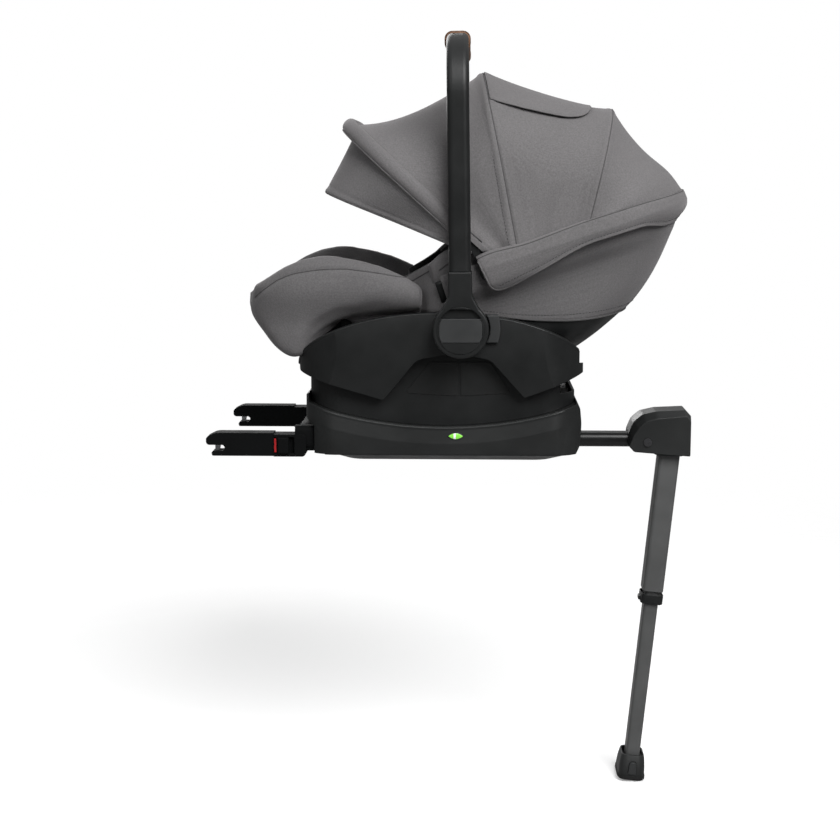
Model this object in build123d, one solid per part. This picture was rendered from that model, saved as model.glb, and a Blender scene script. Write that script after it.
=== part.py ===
"""Infant car seat on its anchored base, with a fold-down support leg.

X runs from the foot end to the head end, Y across the seat and Z up, in millimetres.
The origin is the middle of the base's rest face, straight below the handle's pivot.
The side at -Y is called right and the side at +Y left.
"""

import math
import os

from build123d import *

# Clearances
CLEAR = 0.3
RUNNING = 0.05

# Handle pivot
HUB_Z = 197.0
RING_OUTER_R = 39.5
SPIGOT_R = 33.0
HANDLE_INNER_Y = 199.0
HANDLE_DEPTH = 22.0
HANDLE_WIDTH = 31.0
HANDLE_REACH = 412.0
HANDLE_LEAN = 0.9
HANDLE_CORNER_R = 72.0
SLEEVE_WIDTH = 33.5
SLEEVE_TOP = 82.0
TONGUE_LENGTH = 30.0
TONGUE_INSET = 4.0
GRIP_WALL = 2.5
GRIP_WRAP_ANGLE = 12.0
CAP_PROUD = 1.0
BUTTON_WIDTH = 60.0
BUTTON_HEIGHT = 33.0
BUTTON_THICK = 9.0
BUTTON_TRAVEL = 4.0
BUTTON_PROUD = 1.0
FINGER_RECESS = 7.0
TAB_R = 56.0
TAB_HEIGHT = 39.0
TAB_PROUD = 8.0
TAB_TRAVEL = 3.0

# Carrier shell and its two side covers
COVER_HALF = 186.0
COVER_DEPTH = 27.0
COVER_MID_X = -28.0
COVER_HALF_LENGTH = 208.5
LIP_Z = 137.0
COVER_RISE = 81.0
COVER_PLAN_R = 76.0
COVER_WRAP_Y = 105.0
HEAD_WRAP_Y = 148.0
HEAD_WRAP_LOW_Y = 134.0
HEAD_WRAP_Z = 143.0
LIP_DROP = 38.0
ARCH_HALF = 101.0
ARCH_MID_X = -10.0
ARCH_TOP_Z = 160.0
TUB_WALL = 4.0
TUB_FOOT_GAP = 11.0
TUB_HEAD_GAP = 14.5
TUB_TOP_DROP = 10.0
TUB_PLAN_R = 50.0
ROCKER_MID_X = -25.0
ROCKER_Z = 54.0
ROCKER_SAG = 28.0
ROCKER_HALF = 184.0
HEAD_NOTCH_Z = 100.0
FOOT_NOTCH_Z = 124.0
LABEL_THICK = 0.8
DOME = 9.0
RECLINE_PIN_R = 8.0
ARM_THICK = 3.5

# Base
BASE_HALF = 172.0
BASE_FOOT_X = -226.0
BASE_HEAD_X = 176.0
BASE_TOP_Z = 98.0
BASE_PLAN_R = 46.0
BASE_WALL = 4.0
TRAY_Z = 12.0
TRAY_FLAT_HALF = 136.0
BASE_PAD_THICK = 2.0
INDICATOR_X = -7.0
INDICATOR_Z = 37.0
INDICATOR_LENGTH = 19.0
INDICATOR_HEIGHT = 9.0

# Anchor connectors, set at the standard spacing for a 6 mm anchor bar
ANCHOR_PITCH = 280.0
ANCHOR_Z = 24.5
CONNECTOR_TIP_X = -371.0
CONNECTOR_LENGTH = 99.0
CONNECTOR_HEIGHT = 34.0
CONNECTOR_WIDTH = 26.0
CARRIER_BLOCK_LENGTH = 47.0
CARRIER_BLOCK_PROUD = 1.5
MOUTH_Z = 18.0
MOUTH_HEIGHT = 9.0
MOUTH_DEPTH = 27.0
JAW_THICK = 6.0
JAW_PIN_R = 4.0
JAW_PIVOT_BACK = 44.0
JAW_PIVOT_UP = 12.5
ANCHOR_TUBE_W = 18.0
ANCHOR_TUBE_H = 22.0
ANCHOR_TUBE_WALL = 2.0
ANCHOR_TUBE_LENGTH = 215.0
CROSS_R = 9.0
SLIDER_LENGTH = 16.0
SLIDER_HEIGHT = 24.0
SLIDER_PROUD = 5.0
SLIDER_TRAVEL = 8.0

# Boom, leg housing and support leg
BOOM_W = 34.0
BOOM_H = 22.0
BOOM_WALL = 2.5
BOOM_Z = -1.0
BOOM_INSIDE = 110.0
HOUSING_FOOT_X = 254.0
HOUSING_HEAD_X = 349.0
HOUSING_TOP_Z = 58.0
HOUSING_LOW_Z = -12.0
HOUSING_HALF = 36.0
HOUSING_WALL = 4.0
HOUSING_SHOULDER = 12.0
LEG_PIN_X = 283.0
LEG_PIN_Z = 10.0
LEG_PIN_R = 4.0
LEG_HEAD_R = 6.0
LEG_TOP_X = 318.5
LEG_TOP_Z = -16.0
LEG_TILT = 5.56
LEG_OUTER_X = 32.0
LEG_OUTER_Y = 40.0
LEG_OUTER_WALL = 1.8
LEG_OUTER_LENGTH = 212.0
LEG_SOCKET = 26.0
COLLAR_WALL = 1.0
COLLAR_OVERLAP = 7.0
COLLAR_LENGTH = 28.0
LEG_INNER_X = 22.0
LEG_INNER_Y = 31.0
LEG_INNER_WALL = 1.6
LEG_INNER_LENGTH = 372.0
LEG_INNER_SHOWN = 280.0
GUIDE_LENGTH = 30.0
LEG_BUTTON_Y = 15.0
LEG_BUTTON_H = 11.0
LEG_BUTTON_PROUD = 3.0
LEG_BUTTON_TRAVEL = 2.0
FOOT_X = 41.0
FOOT_Y = 62.0
FOOT_H = 31.0
FOOT_SOCKET = 15.0
SOLE_H = 7.0

# Backrest, laid out from its rim line
RIM_X = 50.0
RIM_Z = 300.0
RIM_SLOPE = 18.0
BACK_FRONT_U = -95.0
BACK_WALL = 5.0
BACK_LEVELS = (12.0, 38.0, 57.0, 128.0, 158.0, 176.0)
BACK_ENDS = (270.0, 262.0, 248.0, 181.0, 142.0, 98.0)
BACK_HALVES = (177.0, 168.0, 150.0, 140.0, 124.0, 104.0)
HEAD_ROUND = 0.72
COVER_CLOTH = 3.0
BAND_CLOTH = 3.0
BAND_GAP = 17.5
LINER_WALL = 22.0
BACK_PLANE_X = 25.0
BACK_PLANE_Z = 130.0
BACK_PLANE_SLOPE = 26.0
HEADREST_HALF = 104.0
HEADREST_START = 94.0
HEADREST_LENGTH = 82.0
HEADREST_HEIGHT = 72.0
HEADREST_WALL = 34.0
HEADREST_FLOOR = 20.0
STRAP_WIDTH = 25.0
STRAP_THICK = 2.4
STRAP_Y = 38.0

# Canopy
CANOPY_X = 36.0
CANOPY_Z = 274.0
CANOPY_PIN_R = 4.0
FLANGE = 3.5
FLANGE_X = 128.0
CANOPY_CLOTH = 2.5
CANOPY_HALF = 190.0
CANOPY_SHOULDER = 118.0
BOW_R = 3.0
ROLL_R = 3.8
WIRE_R = 1.8
LUG_R = 9.0
LUG_THICK = 2.0
LUG_Y = 181.5
FLAP_OUTLINE = [(28, 518), (96, 497), (150, 489), (170, 491), (184, 501), (192, 512), (196, 640), (0, 640)]

# Leg rest
SEAT_Z = 96.0
LEGREST_HALF = 178.0
LEGREST_INNER = 128.0
LEGREST_KEEL = 149.3
LEGREST_GAP = 4.0


def side_face(points, radii):
    """A closed outline of X, Z points with rounded corners, stood up in the XZ plane."""
    outline = FilletPolyline(*points, radius=radii, close=True)
    return Plane.XZ * make_face(outline)


def across(face, low, high):
    """Pulls a face that stands in the XZ plane from Y low to Y high."""
    return extrude(Pos(0, low, 0) * face, amount=high - low, dir=(0, 1, 0))


def side_prism(points, radii, low, high):
    return across(side_face(points, radii), low, high)


def block(x, y, z):
    """A box from three (low, high) pairs."""
    size = (x[1] - x[0], y[1] - y[0], z[1] - z[0])
    middle = (sum(x) / 2, sum(y) / 2, sum(z) / 2)
    return Pos(*middle) * Box(*size)


def plan_prism(x, half, radius, low, high):
    """A plan rectangle with round corners, pulled from Z low to Z high."""
    plan = Pos(sum(x) / 2, 0) * RectangleRounded(x[1] - x[0], 2 * half, radius)
    return extrude(Pos(0, 0, low) * plan, amount=high - low)


def rod(radius, x, z, low, high):
    """A round bar along Y."""
    return Pos(x, (low + high) / 2, z) * Rot(90, 0, 0) * Cylinder(radius, high - low)


def mirrored(part):
    return mirror(part, Plane.XZ)


def pair(part):
    """A piece and its mirror image on the other side."""
    return Compound(children=[*part.solids(), *mirrored(part).solids()])


def tube_section(width, depth, radius, wall):
    """A rectangular tube's section, with its wall."""
    inner = RectangleRounded(width - 2 * wall, depth - 2 * wall, max(radius - wall, 0.5))
    return RectangleRounded(width, depth, radius) - inner


# Carrier shell

TUB_HALF = COVER_HALF - COVER_DEPTH
TUB_X = (
    COVER_MID_X - COVER_HALF_LENGTH + COVER_DEPTH - TUB_FOOT_GAP,
    COVER_MID_X + COVER_HALF_LENGTH - TUB_HEAD_GAP,
)
ROCKER_R = (ROCKER_HALF**2 + ROCKER_SAG**2) / (2 * ROCKER_SAG)


def rocker_z(x, inward=0.0):
    """Height of the rocker's curve at x, on a radius that is smaller by inward."""
    return ROCKER_Z + ROCKER_R - math.sqrt((ROCKER_R - inward) ** 2 - (x - ROCKER_MID_X) ** 2)


def cover_top(x):
    """Height of the side covers' top edge at x."""
    share = min(abs((x - COVER_MID_X) / COVER_HALF_LENGTH), 1.0)
    return LIP_Z + COVER_RISE * math.sqrt(1 - share**2)


def above_rocker(x, inward, top):
    """A face over the rocker's curve, between two X ends and below top."""
    middle = ROCKER_MID_X
    floor = ThreePointArc(
        (x[0], rocker_z(x[0], inward)), (middle, rocker_z(middle, inward)), (x[1], rocker_z(x[1], inward))
    )
    rest = Polyline(floor @ 1, (x[1], top), (x[0], top), floor @ 0)
    return Plane.XZ * make_face(floor + rest)


def tub_top_face():
    """The outline under the covers' top edge that the tub's walls reach."""
    x = (COVER_MID_X - COVER_HALF_LENGTH, COVER_MID_X + COVER_HALF_LENGTH)
    low = LIP_Z - TUB_TOP_DROP
    edge = EllipticalCenterArc((COVER_MID_X, low), COVER_HALF_LENGTH, COVER_RISE, 0, arc_size=180)
    rest = Polyline(edge @ 1, (x[0], 0), (x[1], 0), edge @ 0)
    return Plane.XZ * make_face(edge + rest)


def carrier_shell():
    """The tub: a rocker floor and side walls, notched low at both ends."""
    wide = (TUB_X[0] - 20, TUB_X[1] + 20)
    outer = across(above_rocker(wide, 0, HUB_Z * 2), -COVER_HALF, COVER_HALF)
    outer &= plan_prism(TUB_X, TUB_HALF, TUB_PLAN_R, 0, LIP_Z + COVER_RISE)
    outer &= across(tub_top_face(), -COVER_HALF, COVER_HALF)
    inner_x = (TUB_X[0] + TUB_WALL, TUB_X[1] - TUB_WALL)
    top = LIP_Z + 2 * COVER_RISE
    inner = across(above_rocker(wide, TUB_WALL, top * 2), -COVER_HALF, COVER_HALF)
    inner &= plan_prism(inner_x, TUB_HALF - TUB_WALL, TUB_PLAN_R - TUB_WALL, 0, top)
    shell = outer - inner
    notch_y = (-TUB_HALF + 2 * TUB_WALL, TUB_HALF - 2 * TUB_WALL)
    shell -= block((COVER_MID_X, TUB_X[1] + 1), notch_y, (HEAD_NOTCH_Z, top))
    shell -= block((TUB_X[0] - 1, COVER_MID_X), notch_y, (FOOT_NOTCH_Z, top))
    return shell


def recline_pins():
    """The two studs inside the tub that the backrest and the leg rest turn on."""
    stud = rod(RECLINE_PIN_R, 0, HUB_Z, -TUB_HALF + TUB_WALL, -back_half(hub_depth()) + BACK_WALL + 2)
    return pair(stud)


def cover_outline():
    """Side cover: an elliptical top edge, a lip that drops to the label arch, and the arch."""
    left, right = COVER_MID_X - COVER_HALF_LENGTH, COVER_MID_X + COVER_HALF_LENGTH
    top = EllipticalCenterArc((COVER_MID_X, LIP_Z), COVER_HALF_LENGTH, COVER_RISE, 0, arc_size=180)
    arch_low = LIP_Z - 6 - LIP_DROP
    arch_left, arch_right = ARCH_MID_X - ARCH_HALF, ARCH_MID_X + ARCH_HALF
    shoulder = 0.52 * ARCH_HALF
    lower = FilletPolyline(
        (left, LIP_Z),
        (left + 2, LIP_Z - 7),
        (arch_left, arch_low),
        (ARCH_MID_X - shoulder, ARCH_TOP_Z - 8),
        (ARCH_MID_X, ARCH_TOP_Z + 2),
        (ARCH_MID_X + shoulder, ARCH_TOP_Z - 8),
        (arch_right, arch_low + 4),
        (right - 2, LIP_Z - 7),
        (right, LIP_Z),
        radius=[3, 3, 26, 60, 26, 3, 3],
    )
    return Plane.XZ * make_face(top + lower)


def tab_shape(grow, low, high):
    """A sector beside the hub ring, between the ring and the tab's own radius."""
    half = TAB_HEIGHT / 2 + grow
    sector = rod(TAB_R + grow, 0, HUB_Z, low, high) & block(
        (0, TAB_R * 2), (low, high), (HUB_Z - half, HUB_Z + half)
    )
    return sector - rod(RING_OUTER_R + 1.5 - grow, 0, HUB_Z, low - 1, high + 1)


def dome(grow):
    """The covers' bulge in end view: widest below the hub, drawn in above and below."""
    half = COVER_HALF + grow
    mid = (LIP_Z + HUB_Z) / 2
    reach = HUB_Z - LIP_DROP
    bulge = ThreePointArc((-half + DOME, mid - reach / 2), (-half, mid), (-half + DOME, mid + reach / 2))
    rest = Polyline(bulge @ 1, (0, mid + reach / 2), (0, mid - reach / 2), bulge @ 0)
    x = (COVER_MID_X - COVER_HALF_LENGTH - 10, COVER_MID_X + COVER_HALF_LENGTH + 10)
    return Pos(x[0], 0, 0) * extrude(Plane.YZ * make_face(bulge + rest), amount=x[1] - x[0])


def side_cover():
    """The right side cover, wrapped round the tub's corners, with the hub's seat and the tab's pocket."""
    x = (COVER_MID_X - COVER_HALF_LENGTH, COVER_MID_X + COVER_HALF_LENGTH)
    proud = 2.0
    cover = across(cover_outline(), -COVER_HALF - proud, 0) & dome(0)
    cover &= plan_prism(x, COVER_HALF + proud, COVER_PLAN_R + proud, 0, HUB_Z * 2)
    tub_x = (TUB_X[0] - CLEAR, TUB_X[1] + CLEAR)
    cover -= plan_prism(tub_x, TUB_HALF + CLEAR, TUB_PLAN_R + CLEAR, 0, HUB_Z * 2)
    cover -= block((x[0] - 1, COVER_MID_X), (-COVER_WRAP_Y, 1), (0, HUB_Z * 2))
    cover -= block((COVER_MID_X - 1, x[1] + 1), (-HEAD_WRAP_LOW_Y, 1), (0, HUB_Z * 2))
    cover -= block((COVER_MID_X - 1, x[1] + 1), (-HEAD_WRAP_Y, 1), (HEAD_WRAP_Z, HUB_Z * 2))
    cover -= tab_shape(CLEAR, -COVER_HALF - 1, -COVER_HALF + DOME + TAB_TRAVEL + CLEAR)
    return cover - rod(SPIGOT_R, 0, HUB_Z, -COVER_HALF - 1, -COVER_HALF + DOME)


def label_plates():
    """Two blank plates in the arch of each side cover."""
    low, top = LIP_Z - 36, ARCH_TOP_Z - 14
    mid = ARCH_MID_X + 8
    plates = []
    for inner, outer_low, outer_top in ((mid - 2, mid - 78, mid - 42), (mid + 2, mid + 74, mid + 44)):
        points = [(inner, low - 4), (outer_low, low), (outer_top, top), (inner, top)]
        plates.append(side_prism(points, 3, -TUB_HALF - LABEL_THICK, -TUB_HALF))
    return Compound(children=[s for p in plates for s in pair(p).solids()])


# Handle

def hub_cap():
    """The fixed spigot that the handle turns on, recessed for the release plate."""
    end = -HANDLE_INNER_Y - HANDLE_DEPTH - CAP_PROUD
    cap = rod(SPIGOT_R, 0, HUB_Z, end, -COVER_HALF + DOME)
    half = BUTTON_HEIGHT / 2
    cap -= block((-SPIGOT_R, SPIGOT_R), (end - 1, end + FINGER_RECESS), (HUB_Z + half, HUB_Z + SPIGOT_R - 3))
    cap -= button_shape(CLEAR, end - 1, end + BUTTON_THICK + BUTTON_TRAVEL)
    return cap


def button_shape(grow, low, high):
    w, h = BUTTON_WIDTH / 2 + grow, BUTTON_HEIGHT / 2 + grow
    points = [(-w, HUB_Z - h), (w, HUB_Z - h), (w, HUB_Z + h), (-w, HUB_Z + h)]
    bar = side_prism(points, 5, low, high)
    return bar & rod(SPIGOT_R - 2 + grow, 0, HUB_Z, low, high)


def handle_button():
    """The release plate in the hub, pressed towards the seat."""
    end = -HANDLE_INNER_Y - HANDLE_DEPTH - CAP_PROUD
    return button_shape(0, end - BUTTON_PROUD, end + BUTTON_THICK - BUTTON_PROUD)


def recline_tab():
    """The tab beside the hub, pressed towards the seat."""
    tab = tab_shape(0, -COVER_HALF - TAB_PROUD, -COVER_HALF + DOME)
    return fillet(tab.faces().sort_by(Axis.Y)[0].edges(), 1.5)


def handle_socket():
    """The ring on the spigot and the sleeve that takes the handle's arm."""
    low, high = -HANDLE_INNER_Y - HANDLE_DEPTH, -HANDLE_INNER_Y
    half = SLEEVE_WIDTH / 2
    flare = RING_OUTER_R - 7
    points = [(-flare, HUB_Z + 18), (flare, HUB_Z + 18), (half, HUB_Z + 48), (half, HUB_Z + SLEEVE_TOP)]
    points += [(-half, HUB_Z + SLEEVE_TOP), (-half, HUB_Z + 48)]
    socket = side_prism(points, [0, 0, 14, 0, 0, 14], low, high) + rod(RING_OUTER_R, 0, HUB_Z, low, high)
    outer_edges = socket.faces().sort_by(Axis.Y)[0].edges()
    socket = fillet(outer_edges, 2.5)
    socket -= rod(SPIGOT_R + RUNNING, 0, HUB_Z, low - 1, high + 1)
    slot = block(
        (-HANDLE_WIDTH / 2 + TONGUE_INSET - CLEAR, HANDLE_WIDTH / 2 - TONGUE_INSET + CLEAR),
        (low + TONGUE_INSET - CLEAR, high - TONGUE_INSET + CLEAR),
        (HUB_Z + SLEEVE_TOP - TONGUE_LENGTH - 1, HUB_Z + SLEEVE_TOP + 1),
    )
    return socket - slot


def leaned(part):
    """Tips a piece of the handle about the hub, as it stands when it is locked upright."""
    return Pos(0, 0, HUB_Z) * Rot(0, -HANDLE_LEAN, 0) * Pos(0, 0, -HUB_Z) * part


def bow_path(start_z):
    """The handle's centre line: up, over and down."""
    y = HANDLE_INNER_Y + HANDLE_DEPTH / 2
    top = HUB_Z + HANDLE_REACH - HANDLE_DEPTH / 2
    corners = [(0, -y, start_z), (0, -y, top), (0, y, top), (0, y, start_z)]
    return FilletPolyline(*corners, radius=HANDLE_CORNER_R)


def handle_bow():
    """The arch-shaped tube of the handle, with a tongue at each end."""
    start = HUB_Z + SLEEVE_TOP
    path = bow_path(start)
    profile = Pos(*(path @ 0)) * RectangleRounded(HANDLE_WIDTH, HANDLE_DEPTH, 8)
    bow = sweep(profile, path=path)
    y = HANDLE_INNER_Y + HANDLE_DEPTH / 2
    half_x, half_y = HANDLE_WIDTH / 2 - TONGUE_INSET, HANDLE_DEPTH / 2 - TONGUE_INSET
    for side in (-1, 1):
        tongue_y = (side * y - half_y, side * y + half_y)
        bow += block((-half_x, half_x), tongue_y, (start - TONGUE_LENGTH, start + 5))
    return bow


def handle_grip():
    """The stitched sleeve on the handle's cross bar, wrapped part of the way round the bends."""
    y = HANDLE_INNER_Y + HANDLE_DEPTH / 2
    top = HUB_Z + HANDLE_REACH - HANDLE_DEPTH / 2
    turn = math.radians(90 - GRIP_WRAP_ANGLE)
    centre_y, centre_z = y - HANDLE_CORNER_R, top - HANDLE_CORNER_R
    middle = math.radians(90 - GRIP_WRAP_ANGLE / 2)

    def on_bend(angle, side):
        out = HANDLE_CORNER_R * math.cos(angle)
        up = HANDLE_CORNER_R * math.sin(angle)
        return (0, side * (centre_y + out), centre_z + up)

    bend_in = ThreePointArc(on_bend(turn, -1), on_bend(middle, -1), (0, -centre_y, top))
    bend_out = ThreePointArc((0, centre_y, top), on_bend(middle, 1), on_bend(turn, 1))
    path = Wire([bend_in.edge(), Line(bend_in @ 1, bend_out @ 0).edge(), bend_out.edge()])
    start = Plane(origin=path @ 0, x_dir=(1, 0, 0), z_dir=path % 0)
    outer = RectangleRounded(HANDLE_WIDTH + 2 * GRIP_WALL, HANDLE_DEPTH + 2 * GRIP_WALL, 8 + GRIP_WALL)
    inner = RectangleRounded(HANDLE_WIDTH + 2 * CLEAR, HANDLE_DEPTH + 2 * CLEAR, 8 + CLEAR)
    return sweep(start * outer, path=path) - sweep(start * inner, path=path)


# Base

def base_outline(inset):
    """The base's side outline, moved inward by inset, with its top left square for the nest."""
    head, foot = BASE_HEAD_X - inset, BASE_FOOT_X + inset
    low = TRAY_Z - 1 if inset else TRAY_Z
    points = [
        (foot + 30, low),
        (foot + 29, TRAY_Z + 25),
        (foot + 14, TRAY_Z + 40 + inset),
        (foot, TRAY_Z + 50 + inset),
        (foot + 1, BASE_TOP_Z - inset),
        (head - 15, BASE_TOP_Z - inset),
        (head - 3, BASE_TOP_Z - 20 - inset),
        (head, TRAY_Z + 40),
        (head - 3, TRAY_Z + 10),
        (head - 9, low),
    ]
    return side_face(points, [0, 8, 10, 5, 4, 8, 18, 30, 16, 0])


def base_body(inset, half, radius):
    x = (BASE_FOOT_X + inset, BASE_HEAD_X - inset)
    body = across(base_outline(inset), -half, half)
    return body & plan_prism(x, half, radius, 0, BASE_TOP_Z)


def nest_cut(drop):
    """What the carrier's tub takes out of the base, with drop under and round it."""
    x = (TUB_X[0] - drop, TUB_X[1] + drop)
    over = across(above_rocker((x[0], x[1]), -drop, HUB_Z), -BASE_HALF - 1, BASE_HALF + 1)
    return over


def base_shell():
    """The base's upper shell, hollow under the nest that the carrier sits in."""
    shell = base_body(0, BASE_HALF, BASE_PLAN_R) - nest_cut(CLEAR)
    hollow = base_body(BASE_WALL, BASE_HALF - BASE_WALL, BASE_PLAN_R - BASE_WALL) - nest_cut(BASE_WALL)
    shell -= hollow
    for side in (-1, 1):
        y = side * ANCHOR_PITCH / 2
        half = ANCHOR_TUBE_W / 2 + CLEAR
        z = (ANCHOR_Z - ANCHOR_TUBE_H / 2 - CLEAR, ANCHOR_Z + ANCHOR_TUBE_H / 2 + CLEAR)
        shell -= block((BASE_FOOT_X - 1, BASE_FOOT_X + 60), (y - half, y + half), z)
        lens = indicator_shape(CLEAR, 1)
        shell -= lens if side < 0 else mirrored(lens)
    half = BOOM_W / 2 + CLEAR
    shell -= block((0, BASE_HEAD_X + 1), (-half, half), (0, BOOM_Z + BOOM_H + CLEAR))
    return shell


def indicator_shape(grow, proud):
    """An oblong window in the right wall of the base."""
    length, height = INDICATOR_LENGTH + 2 * grow, INDICATOR_HEIGHT + 2 * grow
    slot = Plane.XZ * (Pos(INDICATOR_X, INDICATOR_Z) * SlotOverall(length, height))
    return across(slot, -BASE_HALF - proud, -BASE_HALF + BASE_WALL)


def base_tray():
    """The tray that closes the base below, with chamfered sides and a slot for the boom."""
    low_x = (BASE_FOOT_X + 56, BASE_HEAD_X - 40)
    high_x = (BASE_FOOT_X + 31, BASE_HEAD_X - 10)
    low = Pos(sum(low_x) / 2, 0, 0) * RectangleRounded(low_x[1] - low_x[0], 2 * TRAY_FLAT_HALF, 30)
    half = BASE_HALF - 1
    plan = RectangleRounded(high_x[1] - high_x[0], 2 * half, BASE_PLAN_R - 6)
    high = Pos(sum(high_x) / 2, 0, TRAY_Z) * plan
    tray = loft([low.face(), high.face()], ruled=True)
    half = BOOM_W / 2 + CLEAR
    slot_x = (BASE_HEAD_X - BOOM_INSIDE - CLEAR, BASE_HEAD_X + 1)
    tray -= block(slot_x, (-half, half), (-1, TRAY_Z + 1))
    for x, y in pad_places():
        tray -= Pos(x, y, 0) * Cylinder(pad_radius() + CLEAR, 2 * BASE_PAD_THICK)
    return tray


def pad_radius():
    return 13.0


def pad_places():
    x = (BASE_FOOT_X + 90, BASE_HEAD_X - 70)
    return [(a, b) for a in x for b in (-TRAY_FLAT_HALF + 30, TRAY_FLAT_HALF - 30)]


def base_pads():
    """Four grip pads let into the rest face."""
    pads = [Pos(x, y, BASE_PAD_THICK / 2) * Cylinder(pad_radius(), BASE_PAD_THICK) for x, y in pad_places()]
    return Compound(children=[s for p in pads for s in p.solids()])


def leg_boom():
    """The steel boom from the base's tray to the leg housing."""
    length = HOUSING_FOOT_X + 10 - (BASE_HEAD_X - BOOM_INSIDE)
    section = Plane.YZ * tube_section(BOOM_W, BOOM_H, 9, BOOM_WALL)
    return Pos(BASE_HEAD_X - BOOM_INSIDE, 0, BOOM_Z + BOOM_H / 2) * extrude(section, amount=length)


# Anchor connectors

ANCHOR_END_X = CONNECTOR_TIP_X + CONNECTOR_LENGTH + CARRIER_BLOCK_LENGTH
CONNECTOR_LOW = ANCHOR_Z - CONNECTOR_HEIGHT / 2 - 1
JAW_X = CONNECTOR_TIP_X + JAW_PIVOT_BACK
JAW_Z = MOUTH_Z + JAW_PIVOT_UP


def connector():
    """One connector: a nose with a mouth for the anchor bar, and the block behind it."""
    y = -ANCHOR_PITCH / 2
    half = CONNECTOR_WIDTH / 2
    low, high = CONNECTOR_LOW, CONNECTOR_LOW + CONNECTOR_HEIGHT
    end = CONNECTOR_TIP_X + CONNECTOR_LENGTH
    mouth_low, mouth_high = MOUTH_Z - MOUTH_HEIGHT / 2, MOUTH_Z + MOUTH_HEIGHT / 2
    points = [
        (CONNECTOR_TIP_X + 9, low),
        (end, low),
        (end, high),
        (CONNECTOR_TIP_X + 14, high),
        (CONNECTOR_TIP_X, high - 7),
        (CONNECTOR_TIP_X, mouth_high),
        (CONNECTOR_TIP_X + MOUTH_DEPTH, mouth_high),
        (CONNECTOR_TIP_X + MOUTH_DEPTH, mouth_low),
        (CONNECTOR_TIP_X + 7, mouth_low),
    ]
    nose = side_prism(points, [2, 0, 0, 20, 5, 5, 4, 4, 3], y - half, y + half)
    proud = CARRIER_BLOCK_PROUD
    rear = block((end, ANCHOR_END_X), (y - half - proud, y + half + proud), (low - 0.5, high - 2))
    rear = fillet(rear.edges().filter_by(Axis.Y).group_by(Axis.X)[-1], 6)
    body = nose + rear
    jaw_half = JAW_THICK / 2 + CLEAR
    body -= block((CONNECTOR_TIP_X + 4, JAW_X + 16), (y - jaw_half, y + jaw_half), (low + 3, high - 1.5))
    slot_x = (slider_x() - SLIDER_LENGTH / 2 - CLEAR, slider_x() + SLIDER_LENGTH / 2 + SLIDER_TRAVEL + CLEAR)
    slot_z = (slider_z() - SLIDER_HEIGHT / 2 - CLEAR, slider_z() + SLIDER_HEIGHT / 2 + CLEAR)
    body -= block(slot_x, (y - half - 5, y - half + 5), slot_z)
    flag_x = (end + 1 - CLEAR, end + 4 + CLEAR)
    body -= block(flag_x, (y - half - 5, y - half + 1), slot_z)
    return body + rod(JAW_PIN_R, JAW_X, JAW_Z, y - half + 1, y + half - 1) - cross_tube(CLEAR)


def slider_x():
    return CONNECTOR_TIP_X + CONNECTOR_LENGTH + 14


def slider_z():
    return CONNECTOR_LOW + CONNECTOR_HEIGHT / 2 - 1


def isofix_slider():
    """The release slider on the right connector, proud of its slot."""
    y = -ANCHOR_PITCH / 2 - CONNECTOR_WIDTH / 2
    x = (slider_x() - SLIDER_LENGTH / 2, slider_x() + SLIDER_LENGTH / 2)
    z = (slider_z() - SLIDER_HEIGHT / 2, slider_z() + SLIDER_HEIGHT / 2)
    slider = block(x, (y - SLIDER_PROUD, y + 4.7), z)
    return fillet(slider.faces().sort_by(Axis.Y)[0].edges(), 2)


def connector_flag():
    """The coloured strip beside the slider that shows whether the jaw is open."""
    y = -ANCHOR_PITCH / 2 - CONNECTOR_WIDTH / 2
    end = CONNECTOR_TIP_X + CONNECTOR_LENGTH
    half = SLIDER_HEIGHT / 2 - 2
    depth = (y - CARRIER_BLOCK_PROUD - 0.4, y + 1 - CLEAR)
    return block((end + 1, end + 4), depth, (slider_z() - half, slider_z() + half))


def connector_jaw():
    """The hooked steel plate that closes in front of the anchor bar."""
    y = -ANCHOR_PITCH / 2
    points = [
        (JAW_X - 10, JAW_Z - 7.5),
        (JAW_X - 24, JAW_Z - 7.5),
        (JAW_X - 26, MOUTH_Z - 7),
        (JAW_X - 32, MOUTH_Z - 6),
        (JAW_X - 32, JAW_Z - 7),
        (JAW_X - 24, JAW_Z - 2.5),
        (JAW_X - 13, JAW_Z + 1),
        (JAW_X + 8, JAW_Z + 4),
        (JAW_X + 8, JAW_Z - 6),
    ]
    jaw = side_prism(points, [2, 1, 2, 2, 3, 4, 4, 3, 3], y - JAW_THICK / 2, y + JAW_THICK / 2)
    jaw += rod(JAW_PIN_R + 3, JAW_X, JAW_Z, y - JAW_THICK / 2, y + JAW_THICK / 2)
    return jaw - rod(JAW_PIN_R + RUNNING, JAW_X, JAW_Z, y - JAW_THICK, y + JAW_THICK)


def cross_tube(grow):
    """The bar that ties the two connectors together."""
    half = ANCHOR_PITCH / 2
    x = ANCHOR_END_X - CROSS_R - 6
    z = CONNECTOR_LOW + CONNECTOR_HEIGHT - CROSS_R - 5
    return rod(CROSS_R + grow, x, z, -half - grow, half + grow)


def anchor_tubes():
    section = Plane.YZ * tube_section(ANCHOR_TUBE_W, ANCHOR_TUBE_H, 5, ANCHOR_TUBE_WALL)
    tube = Pos(ANCHOR_END_X, -ANCHOR_PITCH / 2, ANCHOR_Z) * extrude(section, amount=ANCHOR_TUBE_LENGTH)
    return pair(tube)


# Support leg

def on_leg(part):
    """Places a piece that was made hanging straight down from the leg's top."""
    return Pos(LEG_TOP_X, 0, LEG_TOP_Z) * Rot(0, LEG_TILT, 0) * part


def hanging(section, start, end):
    """A section pulled down the leg from start to end, measured from the leg's top."""
    return extrude(Pos(0, 0, -end) * section, amount=end - start)


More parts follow.
